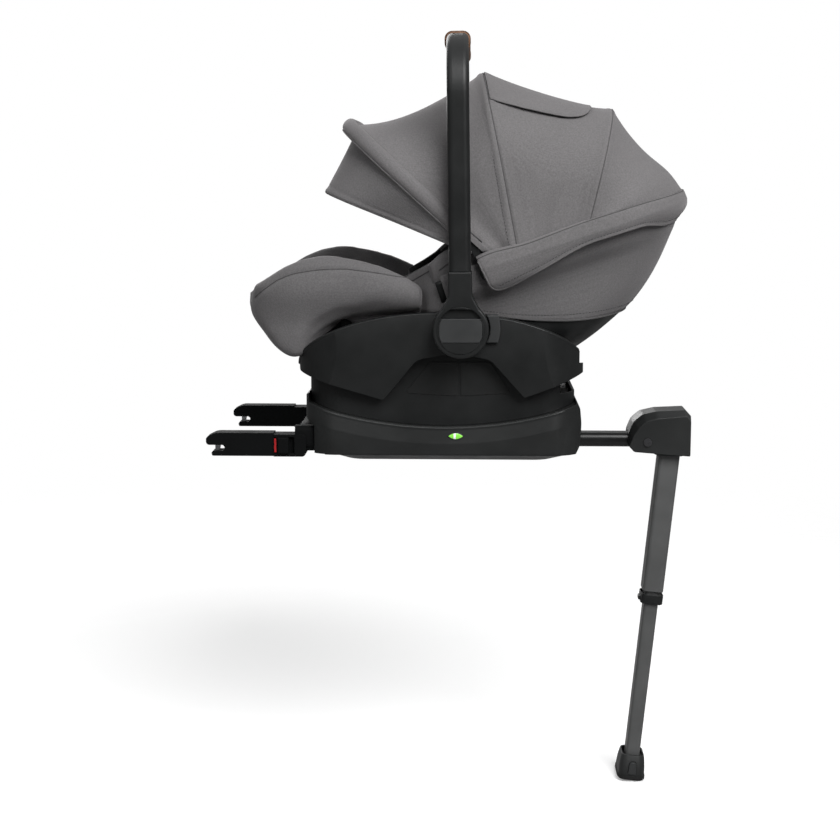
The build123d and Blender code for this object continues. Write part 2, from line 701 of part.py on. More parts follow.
def leg_housing():
    """The head that carries the leg: two cheeks, a top and an end wall, open below."""
    foot, head, top, low = HOUSING_FOOT_X, HOUSING_HEAD_X, HOUSING_TOP_Z, HOUSING_LOW_Z
    roof = [(foot, 4), (foot + 8, low + 7), (head, low), (head, top - 9), (head - 8, top)]
    roof += [(foot + 43, top - 2), (foot + 21, top - 7), (foot + 8, top - 18), (foot + 1.5, top - 34)]
    cheek = [(foot + 1.5, 3), (foot + 9, low + 7), (head - 1, low + 0.5)]
    cheek += [(head - 1, top - 17), (head - 8, top - 8), (foot + 43, top - 12)]
    cheek += [(foot + 27, top - 16), (foot + 16, top - 26), (foot + 8, top - 38)]
    radii = [3, 6, 2, 3, 4, 30, 14, 14, 3]
    ridge = HOUSING_HALF - HOUSING_SHOULDER
    cheek_face = Pos(0, -HOUSING_HALF, 0) * side_face(cheek, radii)
    roof_face = Pos(0, -ridge, 0) * side_face(roof, radii)
    shoulder = loft([cheek_face, roof_face], ruled=True)
    body = side_prism(roof, radii, -ridge, ridge) + shoulder + mirrored(shoulder)
    wall = HOUSING_WALL
    inside = [(foot + wall + 4, low - 9), (head - wall, low - 9)]
    inside += [(head - wall - 1, top - 21), (head - 12, top - 14), (foot + 47, top - 17)]
    inside += [(foot + 33, top - 20), (foot + 22, top - 30), (foot + wall + 5, 14)]
    half = HOUSING_HALF - wall
    housing = body - side_prism(inside, [0, 0, 4, 4, 20, 10, 10, 3], -half, half)
    boom = BOOM_W / 2 + CLEAR
    housing -= block((foot - 1, foot + 16), (-boom, boom), (BOOM_Z - CLEAR, BOOM_Z + BOOM_H + CLEAR))
    housing -= block((foot - 1, foot + 16), (-half, half), (low - 10, BOOM_Z))
    return housing - rod(LEG_PIN_R, LEG_PIN_X, LEG_PIN_Z, -HOUSING_HALF - 1, HOUSING_HALF + 1)


def leg_pin():
    """The leg's pivot screw, with a recessed head on each cheek."""
    pin = rod(LEG_PIN_R, LEG_PIN_X, LEG_PIN_Z, -HOUSING_HALF - 2, HOUSING_HALF + 2)
    for side in (-1, 1):
        y = sorted((side * HOUSING_HALF, side * (HOUSING_HALF + 2.5)))
        head = rod(LEG_HEAD_R, LEG_PIN_X, LEG_PIN_Z, *y)
        socket = extrude(Plane.XZ * RegularPolygon(3.5, 6), amount=2.2, both=True)
        pin += head - Pos(LEG_PIN_X, side * (HOUSING_HALF + 2.5), LEG_PIN_Z) * socket
    return pin


def leg_knuckle():
    """The moulded block at the top of the leg, with the pivot's eye."""
    half = HOUSING_HALF - HOUSING_WALL - CLEAR
    points = [
        (LEG_PIN_X - 9, LEG_PIN_Z - 9),
        (LEG_PIN_X - 9, LEG_PIN_Z + 9),
        (LEG_PIN_X + 12, LEG_PIN_Z + 20),
        (LEG_PIN_X + 50, LEG_PIN_Z + 20),
        (LEG_PIN_X + 56, LEG_PIN_Z - 2),
        (LEG_PIN_X + 55, LEG_PIN_Z - 22),
        (LEG_PIN_X + 18, LEG_PIN_Z - 22),
    ]
    knuckle = side_prism(points, [8, 8, 10, 6, 4, 4, 8], -half, half)
    pocket = RectangleRounded(LEG_OUTER_X + 2 * CLEAR, LEG_OUTER_Y + 2 * CLEAR, 6)
    knuckle -= on_leg(hanging(pocket, -LEG_SOCKET, 40))
    return knuckle - rod(LEG_PIN_R + RUNNING, LEG_PIN_X, LEG_PIN_Z, -half - 1, half + 1)


def leg_outer_tube():
    section = tube_section(LEG_OUTER_X, LEG_OUTER_Y, 6, LEG_OUTER_WALL)
    return on_leg(hanging(section, -LEG_SOCKET, LEG_OUTER_LENGTH))


def leg_collar():
    """The moulded collar at the tube's end, which guides the inner tube and holds the height button."""
    start = LEG_OUTER_LENGTH - COLLAR_OVERLAP
    end = start + COLLAR_LENGTH
    size = (LEG_OUTER_X + 2 * COLLAR_WALL, LEG_OUTER_Y + 2 * COLLAR_WALL)
    collar = hanging(RectangleRounded(*size, 7), start, end)
    collar = chamfer(collar.faces().sort_by(Axis.Z)[0].edges(), 3)
    seat = RectangleRounded(LEG_OUTER_X + 2 * CLEAR, LEG_OUTER_Y + 2 * CLEAR, 6)
    collar -= hanging(seat, start - 1, LEG_OUTER_LENGTH + CLEAR)
    bore = RectangleRounded(LEG_INNER_X + 2 * CLEAR, LEG_INNER_Y + 2 * CLEAR, 5)
    collar -= hanging(bore, start - 1, end + 1)
    return on_leg(collar - button_block(CLEAR, LEG_BUTTON_TRAVEL))


def button_block(grow, deeper):
    """The height button's block in the collar's foot-side wall."""
    face = -LEG_OUTER_X / 2 - COLLAR_WALL
    middle = -(LEG_OUTER_LENGTH + COLLAR_LENGTH / 2 - COLLAR_OVERLAP + 2)
    half_y, half_z = LEG_BUTTON_Y / 2 + grow, LEG_BUTTON_H / 2 + grow
    x = (face - LEG_BUTTON_PROUD, face + 2 + deeper)
    return block(x, (-half_y, half_y), (middle - half_z, middle + half_z))


def leg_button():
    return on_leg(fillet(button_block(0, 0).faces().sort_by(Axis.X)[0].edges(), 1.2))


LEG_INNER_TOP = LEG_OUTER_LENGTH + LEG_INNER_SHOWN - LEG_INNER_LENGTH


def leg_inner_tube():
    section = tube_section(LEG_INNER_X, LEG_INNER_Y, 5, LEG_INNER_WALL)
    return on_leg(hanging(section, LEG_INNER_TOP, LEG_INNER_TOP + LEG_INNER_LENGTH))


def leg_guide():
    """The slide bush on the inner tube's top end."""
    inset = 2 * (LEG_OUTER_WALL + CLEAR)
    outer = RectangleRounded(LEG_OUTER_X - inset, LEG_OUTER_Y - inset, 4)
    inner = RectangleRounded(LEG_INNER_X, LEG_INNER_Y, 5)
    return on_leg(hanging(outer - inner, LEG_INNER_TOP, LEG_INNER_TOP + GUIDE_LENGTH))


FOOT_TOP = LEG_INNER_TOP + LEG_INNER_LENGTH - FOOT_SOCKET


def foot_body():
    """The foot: a waisted block with a cup for the inner tube."""
    low = Pos(0, 0, -FOOT_TOP - FOOT_H) * RectangleRounded(FOOT_X, FOOT_Y, 12)
    waist = Pos(0, 0, -FOOT_TOP - FOOT_H * 0.55) * RectangleRounded(FOOT_X - 1, FOOT_Y - 4, 12)
    high = Pos(0, 0, -FOOT_TOP) * RectangleRounded(FOOT_X - 6, FOOT_Y - 14, 11)
    body = loft([low.face(), waist.face(), high.face()])
    cup = RectangleRounded(LEG_INNER_X + 10, LEG_INNER_Y + 10, 7)
    body -= hanging(cup, FOOT_TOP - 1, FOOT_TOP + FOOT_SOCKET * 0.5)
    seat = RectangleRounded(LEG_INNER_X + 2 * CLEAR, LEG_INNER_Y + 2 * CLEAR, 5)
    body -= hanging(seat, FOOT_TOP, FOOT_TOP + FOOT_SOCKET)
    return on_leg(body - foot_window(CLEAR))


def foot_window(grow):
    """The arched indicator on the foot's right face."""
    w, low, top = 6 + grow, -FOOT_TOP - FOOT_H + 3 - grow, -FOOT_TOP - FOOT_H + 22 + grow
    points = [(-w, low), (w, low), (w - 1, top), (-w + 1, top)]
    return side_prism(points, [1, 1, 4, 4], -FOOT_Y / 2 - 1, -FOOT_Y / 2 + 7)


def foot_indicator():
    return on_leg(foot_window(0))


def foot_sole():
    top = FOOT_TOP + FOOT_H
    sole = hanging(RectangleRounded(FOOT_X + 2, FOOT_Y + 2, 13), top, top + SOLE_H)
    return on_leg(chamfer(sole.faces().sort_by(Axis.Z)[0].edges(), 2))


# Backrest

def rim_plane(depth):
    """A plane that lies along the rim, depth below it: x towards the head, y across."""
    slope = math.radians(RIM_SLOPE)
    origin = (RIM_X + depth * math.sin(slope), 0, RIM_Z - depth * math.cos(slope))
    along = (math.cos(slope), 0, math.sin(slope))
    return Plane(origin=origin, x_dir=along, z_dir=(-along[2], 0, along[0]))


def back_section(depth, end, half, front):
    """A bucket section: square at the front, rounded at the head."""
    radius = HEAD_ROUND * half
    points = [(front, -half), (end, -half), (end, half), (front, half)]
    outline = FilletPolyline(*points, radius=[0, radius, radius, 0], close=True)
    return rim_plane(depth) * make_face(outline)


def bucket(grow, front, rise=0.0, sink=True):
    """The backrest's body, grown outward by grow, with straight walls for rise above its rim."""
    levels = list(zip(BACK_LEVELS, BACK_ENDS, BACK_HALVES))
    faces = []
    if rise:
        faces.append(back_section(BACK_LEVELS[0] - rise, BACK_ENDS[0] + grow, BACK_HALVES[0] + grow, front))
    for depth, end, half in levels:
        lower = grow * (depth - BACK_LEVELS[0]) / (BACK_LEVELS[-1] - BACK_LEVELS[0]) if sink else 0
        faces.append(back_section(depth + lower, end + grow, half + grow, front))
    return loft(faces, ruled=True)


def hub_depth():
    """How far the hub's axis lies below the rim line."""
    slope = math.radians(RIM_SLOPE)
    return -RIM_X * math.sin(slope) + (RIM_Z - HUB_Z) * math.cos(slope)


def back_half(depth):
    """Half the bucket's width at a depth below the rim line."""
    spans = zip(BACK_LEVELS, BACK_LEVELS[1:], BACK_HALVES, BACK_HALVES[1:])
    for low, high, first, second in spans:
        if depth <= high:
            return first + (second - first) * (depth - low) / (high - low)
    return BACK_HALVES[-1]


def back_shell():
    """The moulded bucket, open above and at the front, with a hole for each recline stud."""
    inner = bucket(-BACK_WALL, BACK_FRONT_U - 20, rise=40)
    shell = bucket(0, BACK_FRONT_U) - inner
    return shell - rod(RECLINE_PIN_R + RUNNING, 0, HUB_Z, -COVER_HALF, COVER_HALF)


def back_liner():
    """The foam and pad inside the bucket, with a flat back and padded side wings."""
    slope = math.radians(BACK_PLANE_SLOPE)
    outer = bucket(-BACK_WALL - CLEAR, BACK_FRONT_U, rise=20)
    hollow = bucket(-BACK_WALL - LINER_WALL, BACK_FRONT_U - 20, rise=60, sink=False)
    end = (BACK_PLANE_X + 400 * math.cos(slope), BACK_PLANE_Z + 400 * math.sin(slope))
    start = (BACK_PLANE_X - 100, BACK_PLANE_Z)
    region = side_prism(
        [start, (BACK_PLANE_X, BACK_PLANE_Z), end, (end[0], 700), (start[0], 700)], 0, -COVER_HALF, COVER_HALF
    )
    liner = outer - (hollow & region)
    return liner - rod(RECLINE_PIN_R + 2, 0, HUB_Z, -COVER_HALF, COVER_HALF)


def layer(inner, outer, top_rise):
    """A cloth layer over the bucket between two offsets."""
    solid = bucket(outer, BACK_FRONT_U + 10, rise=top_rise)
    return solid - bucket(inner, BACK_FRONT_U - 10, rise=top_rise + 5)


def piping_cut():
    """What hangs below the outer cover's piped lower edge."""
    edge = ThreePointArc((-60, 232), (125, 204), (300, 232))
    rest = Polyline(edge @ 1, (420, 232), (420, -50), (-60, -50), edge @ 0)
    return across(Plane.XZ * make_face(edge + rest), -COVER_HALF - 40, COVER_HALF + 40)


def back_cover():
    """The outer fabric over the upper bucket, down to its piped edge."""
    cover = layer(CLEAR, CLEAR + COVER_CLOTH, 0) - piping_cut()
    hole = rod(CANOPY_PIN_R + 1, CANOPY_X, CANOPY_Z, -COVER_HALF * 2, COVER_HALF * 2)
    return cover - hole


def band_window():
    """The side outline of the canopy's skirt: narrow over the ear, wider at both ends."""
    slope = math.tan(math.radians(RIM_SLOPE))

    def at(x, up):
        return (x, RIM_Z + (x - RIM_X) * slope + up)

    low = Spline(at(45, -50), at(100, -40), at(185, -24), at(270, -26), at(420, -40))
    rest = Polyline(low @ 1, at(420, 100), at(-30, 100), at(22, 5), low @ 0)
    return across(Plane.XZ * make_face(low + rest), -COVER_HALF - 40, COVER_HALF + 40)


def canopy_band():
    """The canopy's skirt round the bucket's rim, with the flange that it is sewn on by."""
    skirt = layer(BAND_GAP, BAND_GAP + BAND_CLOTH, 24) & band_window()
    flange = bucket(BAND_GAP + 1, BACK_FRONT_U, rise=40) - bucket(-BACK_WALL, BACK_FRONT_U - 10, rise=50)
    flange &= rim_slab(BACK_LEVELS[0] - FLANGE, BACK_LEVELS[0])
    flange &= block((FLANGE_X, 2 * HOUSING_HEAD_X), (-COVER_HALF * 2, COVER_HALF * 2), (0, 2 * RIM_Z))
    return skirt + flange


def rim_slab(high, low):
    """Everything between two depths below the rim line."""
    return rim_plane(low) * Pos(0, 0, (low - high) / 2) * Box(1200, 1200, low - high)


def canopy_pins():
    """The two pivots that the canopy's bows turn on."""
    inner = LUG_Y - 10
    pin = rod(CANOPY_PIN_R, CANOPY_X, CANOPY_Z, -LUG_Y - 3 * (LUG_THICK + CLEAR) - 0.5, -inner)
    return pair(pin - bucket(0, BACK_FRONT_U))


def along_back(distance, height):
    """A point on the backrest's lying plane, distance up it and height off it."""
    slope = math.radians(BACK_PLANE_SLOPE)
    x = BACK_PLANE_X + distance * math.cos(slope) - height * math.sin(slope)
    return (x, BACK_PLANE_Z + distance * math.sin(slope) + height * math.cos(slope))


def headrest():
    """The cradle-shaped head support that slides on the lying plane."""
    start = along_back(HEADREST_START, CLEAR)
    local = Pos(start[0], 0, start[1]) * Rot(0, -BACK_PLANE_SLOPE, 0)
    half, inner = HEADREST_HALF, HEADREST_HALF - HEADREST_WALL
    high, floor = HEADREST_HEIGHT, HEADREST_FLOOR
    points = [(-half + 18, 0), (half - 18, 0), (half, 24), (half - 6, high), (inner + 4, high)]
    points += [(inner - 6, floor), (-inner + 6, floor), (-inner - 4, high), (-half + 6, high), (-half, 24)]
    outline = FilletPolyline(*points, radius=[14, 14, 18, 12, 12, 22, 22, 12, 12, 18], close=True)
    return local * extrude(Plane.YZ * make_face(outline), amount=HEADREST_LENGTH)


def strap_profile(points, thick):
    """A ribbon's edge view along X, Z points, thick above them."""
    upper = [(x, z + thick) for x, z in points]
    return Plane.XZ * make_face(Polyline(*points, *reversed(upper), points[0]))


def shoulder_straps():
    ends = [along_back(HEADREST_START - 6, CLEAR), along_back(14, CLEAR), along_back(2, 4)]
    ribbon = strap_profile(ends, STRAP_THICK)
    return pair(across(ribbon, -STRAP_Y - STRAP_WIDTH / 2, -STRAP_Y + STRAP_WIDTH / 2))


def shoulder_pads():
    start = along_back(24, CLEAR + STRAP_THICK - 0.2)
    local = Pos(start[0], -STRAP_Y, start[1]) * Rot(0, -BACK_PLANE_SLOPE, 0)
    pad = extrude(Plane.YZ * (Pos(0, 6) * RectangleRounded(STRAP_WIDTH + 20, 11, 5)), amount=52)
    return pair(local * pad)


# Canopy

def arch_face(foot, apex, half, shoulder, grow, thick):
    """An arch section of the canopy: foot and apex are X, Z points of its plane."""
    rise = math.hypot(apex[0] - foot[0], apex[1] - foot[1])
    up = Vector((apex[0] - foot[0]) / rise, 0, (apex[1] - foot[1]) / rise)

    def point(y, s):
        return Vector(foot[0], y, foot[1]) + up * s

    def side(offset):
        w, top, r = half + offset, rise + offset, shoulder + offset
        bend = math.sin(math.radians(45))
        edges = [Line(point(-w, 0), point(-w, top - r))]
        near = point(-w + r - r * bend, top - r + r * bend)
        edges.append(ThreePointArc(point(-w, top - r), near, point(-w + r, top)))
        edges.append(Line(point(-w + r, top), point(w - r, top)))
        far = point(w - r + r * bend, top - r + r * bend)
        edges.append(ThreePointArc(point(w - r, top), far, point(w, top - r)))
        edges.append(Line(point(w, top - r), point(w, 0)))
        return edges

    outer, inner = side(grow), side(grow - thick)
    closing = [Line(outer[-1] @ 1, inner[-1] @ 1), Line(inner[0] @ 0, outer[0] @ 0)]
    return make_face([*outer, *inner, *closing])


VISOR = ((14, 304), (-197, 388), CANOPY_HALF + 3.8, 62)
FRONT_BOW = ((16, 318), (-168, 485), CANOPY_HALF, CANOPY_SHOULDER)
FRONT_SAG = ((50, 322), (-78, 499), CANOPY_HALF - 4, CANOPY_SHOULDER)
MID_BOW = ((77, 320), (30, 558), CANOPY_HALF, CANOPY_SHOULDER)
MID_SAG = ((128, 338), (118, 522), CANOPY_HALF - 3, CANOPY_SHOULDER)
REAR_BOW = ((180, 350), (217, 506), CANOPY_HALF + 0.6, CANOPY_SHOULDER)
REAR_SAG = ((234, 365), (268, 446), CANOPY_HALF - 16, 66)
REAR_LOW = ((272, 377), (294, 418), CANOPY_HALF - 48, 32)
REAR_END = ((299, 386), (312, 399), CANOPY_HALF - 92, 12)


def panel(*sections):
    """A canopy panel through arch sections, drawn in a little at both seams."""
    return loft([arch_face(*s, 0, CANOPY_CLOTH) for s in sections])


def between(first, second, share):
    """A section part of the way from one arch to another."""
    mix = [tuple(a + (b - a) * share for a, b in zip(first[i], second[i])) for i in (0, 1)]
    rest = [first[i] + (second[i] - first[i]) * share for i in (2, 3)]
    return (*mix, *rest)


SEAM = 0.012


def visor_panel():
    return panel(VISOR, between(VISOR, FRONT_BOW, 1 - 2 * SEAM))


def front_panel():
    return panel(between(FRONT_BOW, FRONT_SAG, SEAM), FRONT_SAG, between(MID_BOW, FRONT_SAG, SEAM))


def mid_panel():
    return panel(between(MID_BOW, MID_SAG, SEAM), MID_SAG, between(REAR_BOW, MID_SAG, SEAM))


def rear_panel():
    return panel(between(REAR_BOW, REAR_SAG, SEAM), REAR_SAG, REAR_LOW, REAR_END)


def window_flap():
    """The flap over the canopy's vent, from the middle bow's seam towards the rear bow."""
    first = between(MID_BOW, MID_SAG, 0.06)
    last = between(MID_SAG, REAR_BOW, 0.72)
    faces = [arch_face(*s, 2.3, 2.0) for s in (first, MID_SAG, last)]
    flap = loft(faces)
    radii = [5, 40, 30, 10, 10, 8, 5, 5]
    level = side_prism(FLAP_OUTLINE, radii, -CANOPY_HALF * 1.2, CANOPY_HALF * 1.2)
    return flap & level


def arch_path(section, inset, start):
    """The centre line of a rod that follows an arch section, from start above its foot."""
    foot, apex, half, shoulder = section
    rise = math.hypot(apex[0] - foot[0], apex[1] - foot[1])
    up = ((apex[0] - foot[0]) / rise, (apex[1] - foot[1]) / rise)
    w, top, r = half - inset, rise - inset, shoulder - inset

    def point(y, s):
        return (foot[0] + up[0] * s, y, foot[1] + up[1] * s)

    return FilletPolyline(point(-w, start), point(-w, top), point(w, top), point(w, start), radius=r)


def along(path, radius):
    """A round rod along a path."""
    return sweep(Plane(origin=path @ 0, z_dir=path % 0) * Circle(radius), path=path)


def bow(section, order, radius=BOW_R):
    """A canopy bow: a rod along the arch and a lug at each pivot."""
    path = arch_path(section, CANOPY_CLOTH + CLEAR + BOW_R, 6)
    middle = LUG_Y + order * (LUG_THICK + CLEAR) + LUG_THICK / 2
    y = (-middle - LUG_THICK / 2, -middle + LUG_THICK / 2)
    knee = path @ 0
    arm = side_prism(arm_outline((knee.X, knee.Z)), 1, *y)
    lug = rod(LUG_R, CANOPY_X, CANOPY_Z, *y) + arm
    lug -= rod(CANOPY_PIN_R + RUNNING, CANOPY_X, CANOPY_Z, y[0] - 1, y[1] + 1)
    return along(path, radius) + lug + mirrored(lug)


def visor_wire():
    """The spring wire in the visor's free edge."""
    return bow(VISOR, 2, WIRE_R)


def rear_bow():
    """The fixed bow, which stands on the skirt's flange."""
    foot, apex, half, shoulder = REAR_BOW
    rise = math.hypot(apex[0] - foot[0], apex[1] - foot[1])
    share = 1 - (CANOPY_CLOTH + CLEAR + BOW_R) / rise
    lowered = tuple(low + (high - low) * share for low, high in zip(foot, apex))
    leg = BACK_HALVES[0] - BACK_WALL / 2 + 0.5
    arch = along(arch_path((foot, lowered, leg, shoulder - 10), 0, -60), BOW_R)
    return arch - rim_slab(BACK_LEVELS[0] - FLANGE, BACK_LEVELS[0] + 200)


def arm_outline(knee):
    """A flat arm from the pivot to the foot of a bow."""
    dx, dz = knee[0] - CANOPY_X, knee[1] - CANOPY_Z
    length = math.hypot(dx, dz)
    nx, nz = -dz / length * 5, dx / length * 5
    end = (CANOPY_X + dx * (1 + 8 / length), CANOPY_Z + dz * (1 + 8 / length))
    near = [(CANOPY_X + nx, CANOPY_Z + nz), (CANOPY_X - nx, CANOPY_Z - nz)]
    return near + [(end[0] - nx, end[1] - nz), (end[0] + nx, end[1] + nz)]


def bow_roll():
    """The piped roll along the canopy's front hem."""
    return along(arch_path(FRONT_BOW, -ROLL_R - CLEAR, 30), ROLL_R)


# Seat pan, leg rest and harness

def seat_pad():
    """The pad on the tub's floor under the child, drawn in round its top edge."""
    x = (TUB_X[0] + 40, BACK_PLANE_X + 5)
    floor = across(above_rocker((x[0] - 20, x[1] + 20), TUB_WALL + CLEAR, HUB_Z), -TUB_HALF, TUB_HALF)
    half = TUB_HALF - 16
    rings = []
    for z, inset in ((0, 0), (SEAT_Z - 14, 0), (SEAT_Z - 5, 3), (SEAT_Z, 12)):
        plan = RectangleRounded(x[1] - x[0] - 2 * inset, 2 * (half - inset), 34 - inset)
        rings.append((Pos(sum(x) / 2, 0, z) * plan).face())
    return floor & loft(rings, ruled=True)


def buckle_x():
    return -24.0


def buckle_low():
    return SEAT_Z + 26


def crotch_strap():
    """The strap that stands up from the seat pad and carries the buckle."""
    low = SEAT_Z
    half = STRAP_WIDTH / 2
    return block((buckle_x() - 1.5, buckle_x() + 1.5), (-half, half), (low, buckle_low()))


def buckle_body():
    x, z = buckle_x(), buckle_low()
    body = block((x - 9, x + 9), (-25, 25), (z, z + 58))
    body = fillet(body.edges().filter_by(Axis.X), 10)
    return body - block((x + 4, x + 12), (-13 - CLEAR, 13 + CLEAR), (z + 16 - CLEAR, z + 42 + CLEAR))


def buckle_button():
    x, z = buckle_x(), buckle_low()
    return block((x + 6, x + 10.5), (-13, 13), (z + 16, z + 42))


LEGREST_X = (-322, -312, -300, -286, -265, -244, -222, -192, -150, -105, -66, -39)
LEGREST_TOPS = (238, 245, 253, 263, 276, 285, 293, 297, 293, 284, 271, 257)
LEGREST_FLOORS = (233, 234, 234, 232, 228, 223, 217, 207, 192, 176, 164, 156)
LEGREST_WIDTHS = (0.52, 0.76, 0.88, 0.94, 0.98, 1, 1, 1, 1, 1, 1, 1)
LEGREST_TOE = (229, 222, 214, 204, 182, 165, 152, 140, 140, 140, 140, 140)
LEGREST_STATIONS = (-322, -312, -300, -286, -265, -244, -231, -222, -211, -200)
LEGREST_STATIONS += (-188, -174, -160, -148, -130, -105, -85, -66, -39)
KEEL_X = -155


def along_legrest(x, values):
    """A value at x, on straight runs between the leg rest's listed stations."""
    for low, high, first, second in zip(LEGREST_X, LEGREST_X[1:], values, values[1:]):
        if x <= high:
            return first + (second - first) * (x - low) / (high - low)
    return values[-1]


def legrest_section(x):
    """A trough with two rounded wings, and a keel between the side covers."""
    top, floor = along_legrest(x, LEGREST_TOPS), along_legrest(x, LEGREST_FLOORS)
    width = along_legrest(x, LEGREST_WIDTHS)
    low = max(along_legrest(x, LEGREST_TOE), cover_top(x) + LEGREST_GAP)
    half, inner, keel = LEGREST_HALF * width, LEGREST_INNER * width, LEGREST_KEEL * width
    bottom = low - 1.5 if x < KEEL_X else floor - 22
    crown = (top - max(low, floor)) * 0.3
    mid = (inner + half) / 2

    def p(y, z):
        return (x, y, z)

    chain = [
        (p(0, bottom), p(keel, bottom)),
        (p(keel, bottom), p(keel, low)),
        (p(keel, low), p(half - 4, low)),
        (p(half - 4, low), p(half, (low + top - crown) / 2), p(half - 5, top - crown)),
        (p(half - 5, top - crown), p((half + mid) / 2 + 3, top - crown * 0.22), p(mid, top)),
        (p(mid, top), p((inner + mid) / 2 - 2, top - crown * 0.2), p(inner, top - crown)),
        (p(inner, top - crown), p(inner - 6, floor)),
        (p(inner - 6, floor), p(0, floor)),
    ]
    edges = []
    for sign in (1, -1):
        for points in chain if sign > 0 else chain[::-1]:
            ordered = [(a, sign * b, c) for a, b, c in points][::sign]
            edges.append(Line(*ordered) if len(ordered) == 2 else ThreePointArc(*ordered))
    return make_face(edges)


def legrest_arms():
    """The flat arms that hang the leg rest on the recline studs."""
    y = (-LEGREST_KEEL - CLEAR - ARM_THICK, -LEGREST_KEEL - CLEAR)
    end = LEGREST_X[-1] - 30
    points = [(0, HUB_Z + 13), (end, HUB_Z + 6), (end, HUB_Z - 34), (end + 26, HUB_Z - 34), (0, HUB_Z - 13)]
    arm = side_prism(points, [0, 6, 6, 6, 0], *y) + rod(RECLINE_PIN_R + 5, 0, HUB_Z, *y)
    return pair(arm - rod(RECLINE_PIN_R + RUNNING, 0, HUB_Z, y[0] - 1, y[1] + 1))


def legrest():
    """The padded trough under the child's legs."""
    return loft([legrest_section(x) for x in LEGREST_STATIONS], ruled=True)


def two(name, part):
    """A piece for each side: the right one and its mirror image."""
    return {f"{name}_right": part, f"{name}_left": mirrored(part)}


def main():
    os.makedirs("parts", exist_ok=True)
    nodes = {
        "base_tray": base_tray(),
        "base_shell": base_shell(),
        "base_pads": base_pads(),
        "lock_indicators": pair(indicator_shape(0, 0.6)),
        "leg_boom": leg_boom(),
        "leg_housing": leg_housing(),
        "leg_pivot_screw": leg_pin(),
        "anchor_tubes": anchor_tubes(),
        "anchor_cross_tube": cross_tube(0),
        "anchor_connectors": pair(connector()),
        "anchor_flags": pair(connector_flag()),
        **two("anchor_jaw", connector_jaw()),
        **two("anchor_slider", isofix_slider()),
        "leg_knuckle": leg_knuckle(),
        "leg_outer_tube": leg_outer_tube(),
        "leg_collar": leg_collar(),
        "leg_button": leg_button(),
        "leg_inner_tube": leg_inner_tube(),
        "leg_guide": leg_guide(),
        "foot_body": foot_body(),
        "foot_indicator": foot_indicator(),
        "foot_sole": foot_sole(),
        "carrier_shell": carrier_shell(),
        "recline_pins": recline_pins(),
        "side_covers": pair(side_cover()),
        "label_plates": label_plates(),
        "hub_caps": pair(hub_cap()),
        **two("handle_button", handle_button()),
        **two("recline_tab", recline_tab()),
        "handle_sockets": leaned(pair(handle_socket())),
        "handle_bow": leaned(handle_bow()),
        "handle_grip": leaned(handle_grip()),
        "back_shell": back_shell(),
        "back_liner": back_liner(),
        "back_cover": back_cover(),
        "canopy_band": canopy_band(),
        "canopy_pins": canopy_pins(),
        "headrest": headrest(),
        "shoulder_straps": shoulder_straps(),
        "shoulder_pads": shoulder_pads(),
        "canopy_visor": visor_panel(),
        "canopy_front_panel": front_panel(),
        "canopy_mid_panel": mid_panel(),
        "canopy_rear_panel": rear_panel(),
        "canopy_vent_flap": window_flap(),
        "canopy_front_bow": bow(FRONT_BOW, 1),
        "canopy_mid_bow": bow(MID_BOW, 0),
        "canopy_rear_bow": rear_bow(),
        "canopy_hem_roll": bow_roll(),
        "canopy_visor_wire": visor_wire(),
        "seat_pad": seat_pad(),
        "crotch_strap": crotch_strap(),
        "buckle_body": buckle_body(),
        "buckle_button": buckle_button(),
        "legrest": legrest(),
        "legrest_arms": legrest_arms(),
    }
    for name, part in nodes.items():
        export_step(part, f"parts/{name}.step")


main()
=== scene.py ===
"""Looks of an infant car seat on its anchored base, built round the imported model.

Lengths are millimetres in the model's frame until a mesh is made, apart from those of the stage and the materials,
which are metres. The side at -Y is the right one, which faces the camera.
"""

import math

import bpy
import numpy as np
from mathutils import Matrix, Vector
from mathutils.bvhtree import BVHTree


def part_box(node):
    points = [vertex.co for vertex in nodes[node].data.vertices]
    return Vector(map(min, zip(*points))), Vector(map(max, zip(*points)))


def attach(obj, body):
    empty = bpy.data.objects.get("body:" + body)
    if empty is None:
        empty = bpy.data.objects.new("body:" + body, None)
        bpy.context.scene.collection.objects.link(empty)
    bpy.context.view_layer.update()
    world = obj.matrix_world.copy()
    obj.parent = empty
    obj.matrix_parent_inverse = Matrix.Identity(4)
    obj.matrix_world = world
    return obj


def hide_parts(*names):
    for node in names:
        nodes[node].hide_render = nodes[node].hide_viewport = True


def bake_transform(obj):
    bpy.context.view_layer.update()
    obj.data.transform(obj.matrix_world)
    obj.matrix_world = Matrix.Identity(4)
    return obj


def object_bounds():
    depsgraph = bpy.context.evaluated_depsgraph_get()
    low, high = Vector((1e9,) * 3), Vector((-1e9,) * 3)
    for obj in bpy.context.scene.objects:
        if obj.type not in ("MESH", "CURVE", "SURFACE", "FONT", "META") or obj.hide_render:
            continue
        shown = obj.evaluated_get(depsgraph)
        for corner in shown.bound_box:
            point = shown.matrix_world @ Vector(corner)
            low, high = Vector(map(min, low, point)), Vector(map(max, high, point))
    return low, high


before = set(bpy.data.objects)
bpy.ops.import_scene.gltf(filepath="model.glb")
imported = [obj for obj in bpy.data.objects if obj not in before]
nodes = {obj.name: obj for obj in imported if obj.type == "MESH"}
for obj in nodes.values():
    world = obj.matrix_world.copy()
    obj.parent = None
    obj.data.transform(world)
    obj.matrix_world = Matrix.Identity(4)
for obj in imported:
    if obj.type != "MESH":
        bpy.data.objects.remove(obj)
cad_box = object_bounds()

MM = 0.001
TINY = 1e-9
SIDES = ((-1, "right"), (1, "left"))


# Shader nodes

WAVE_PERIOD = 0.31416


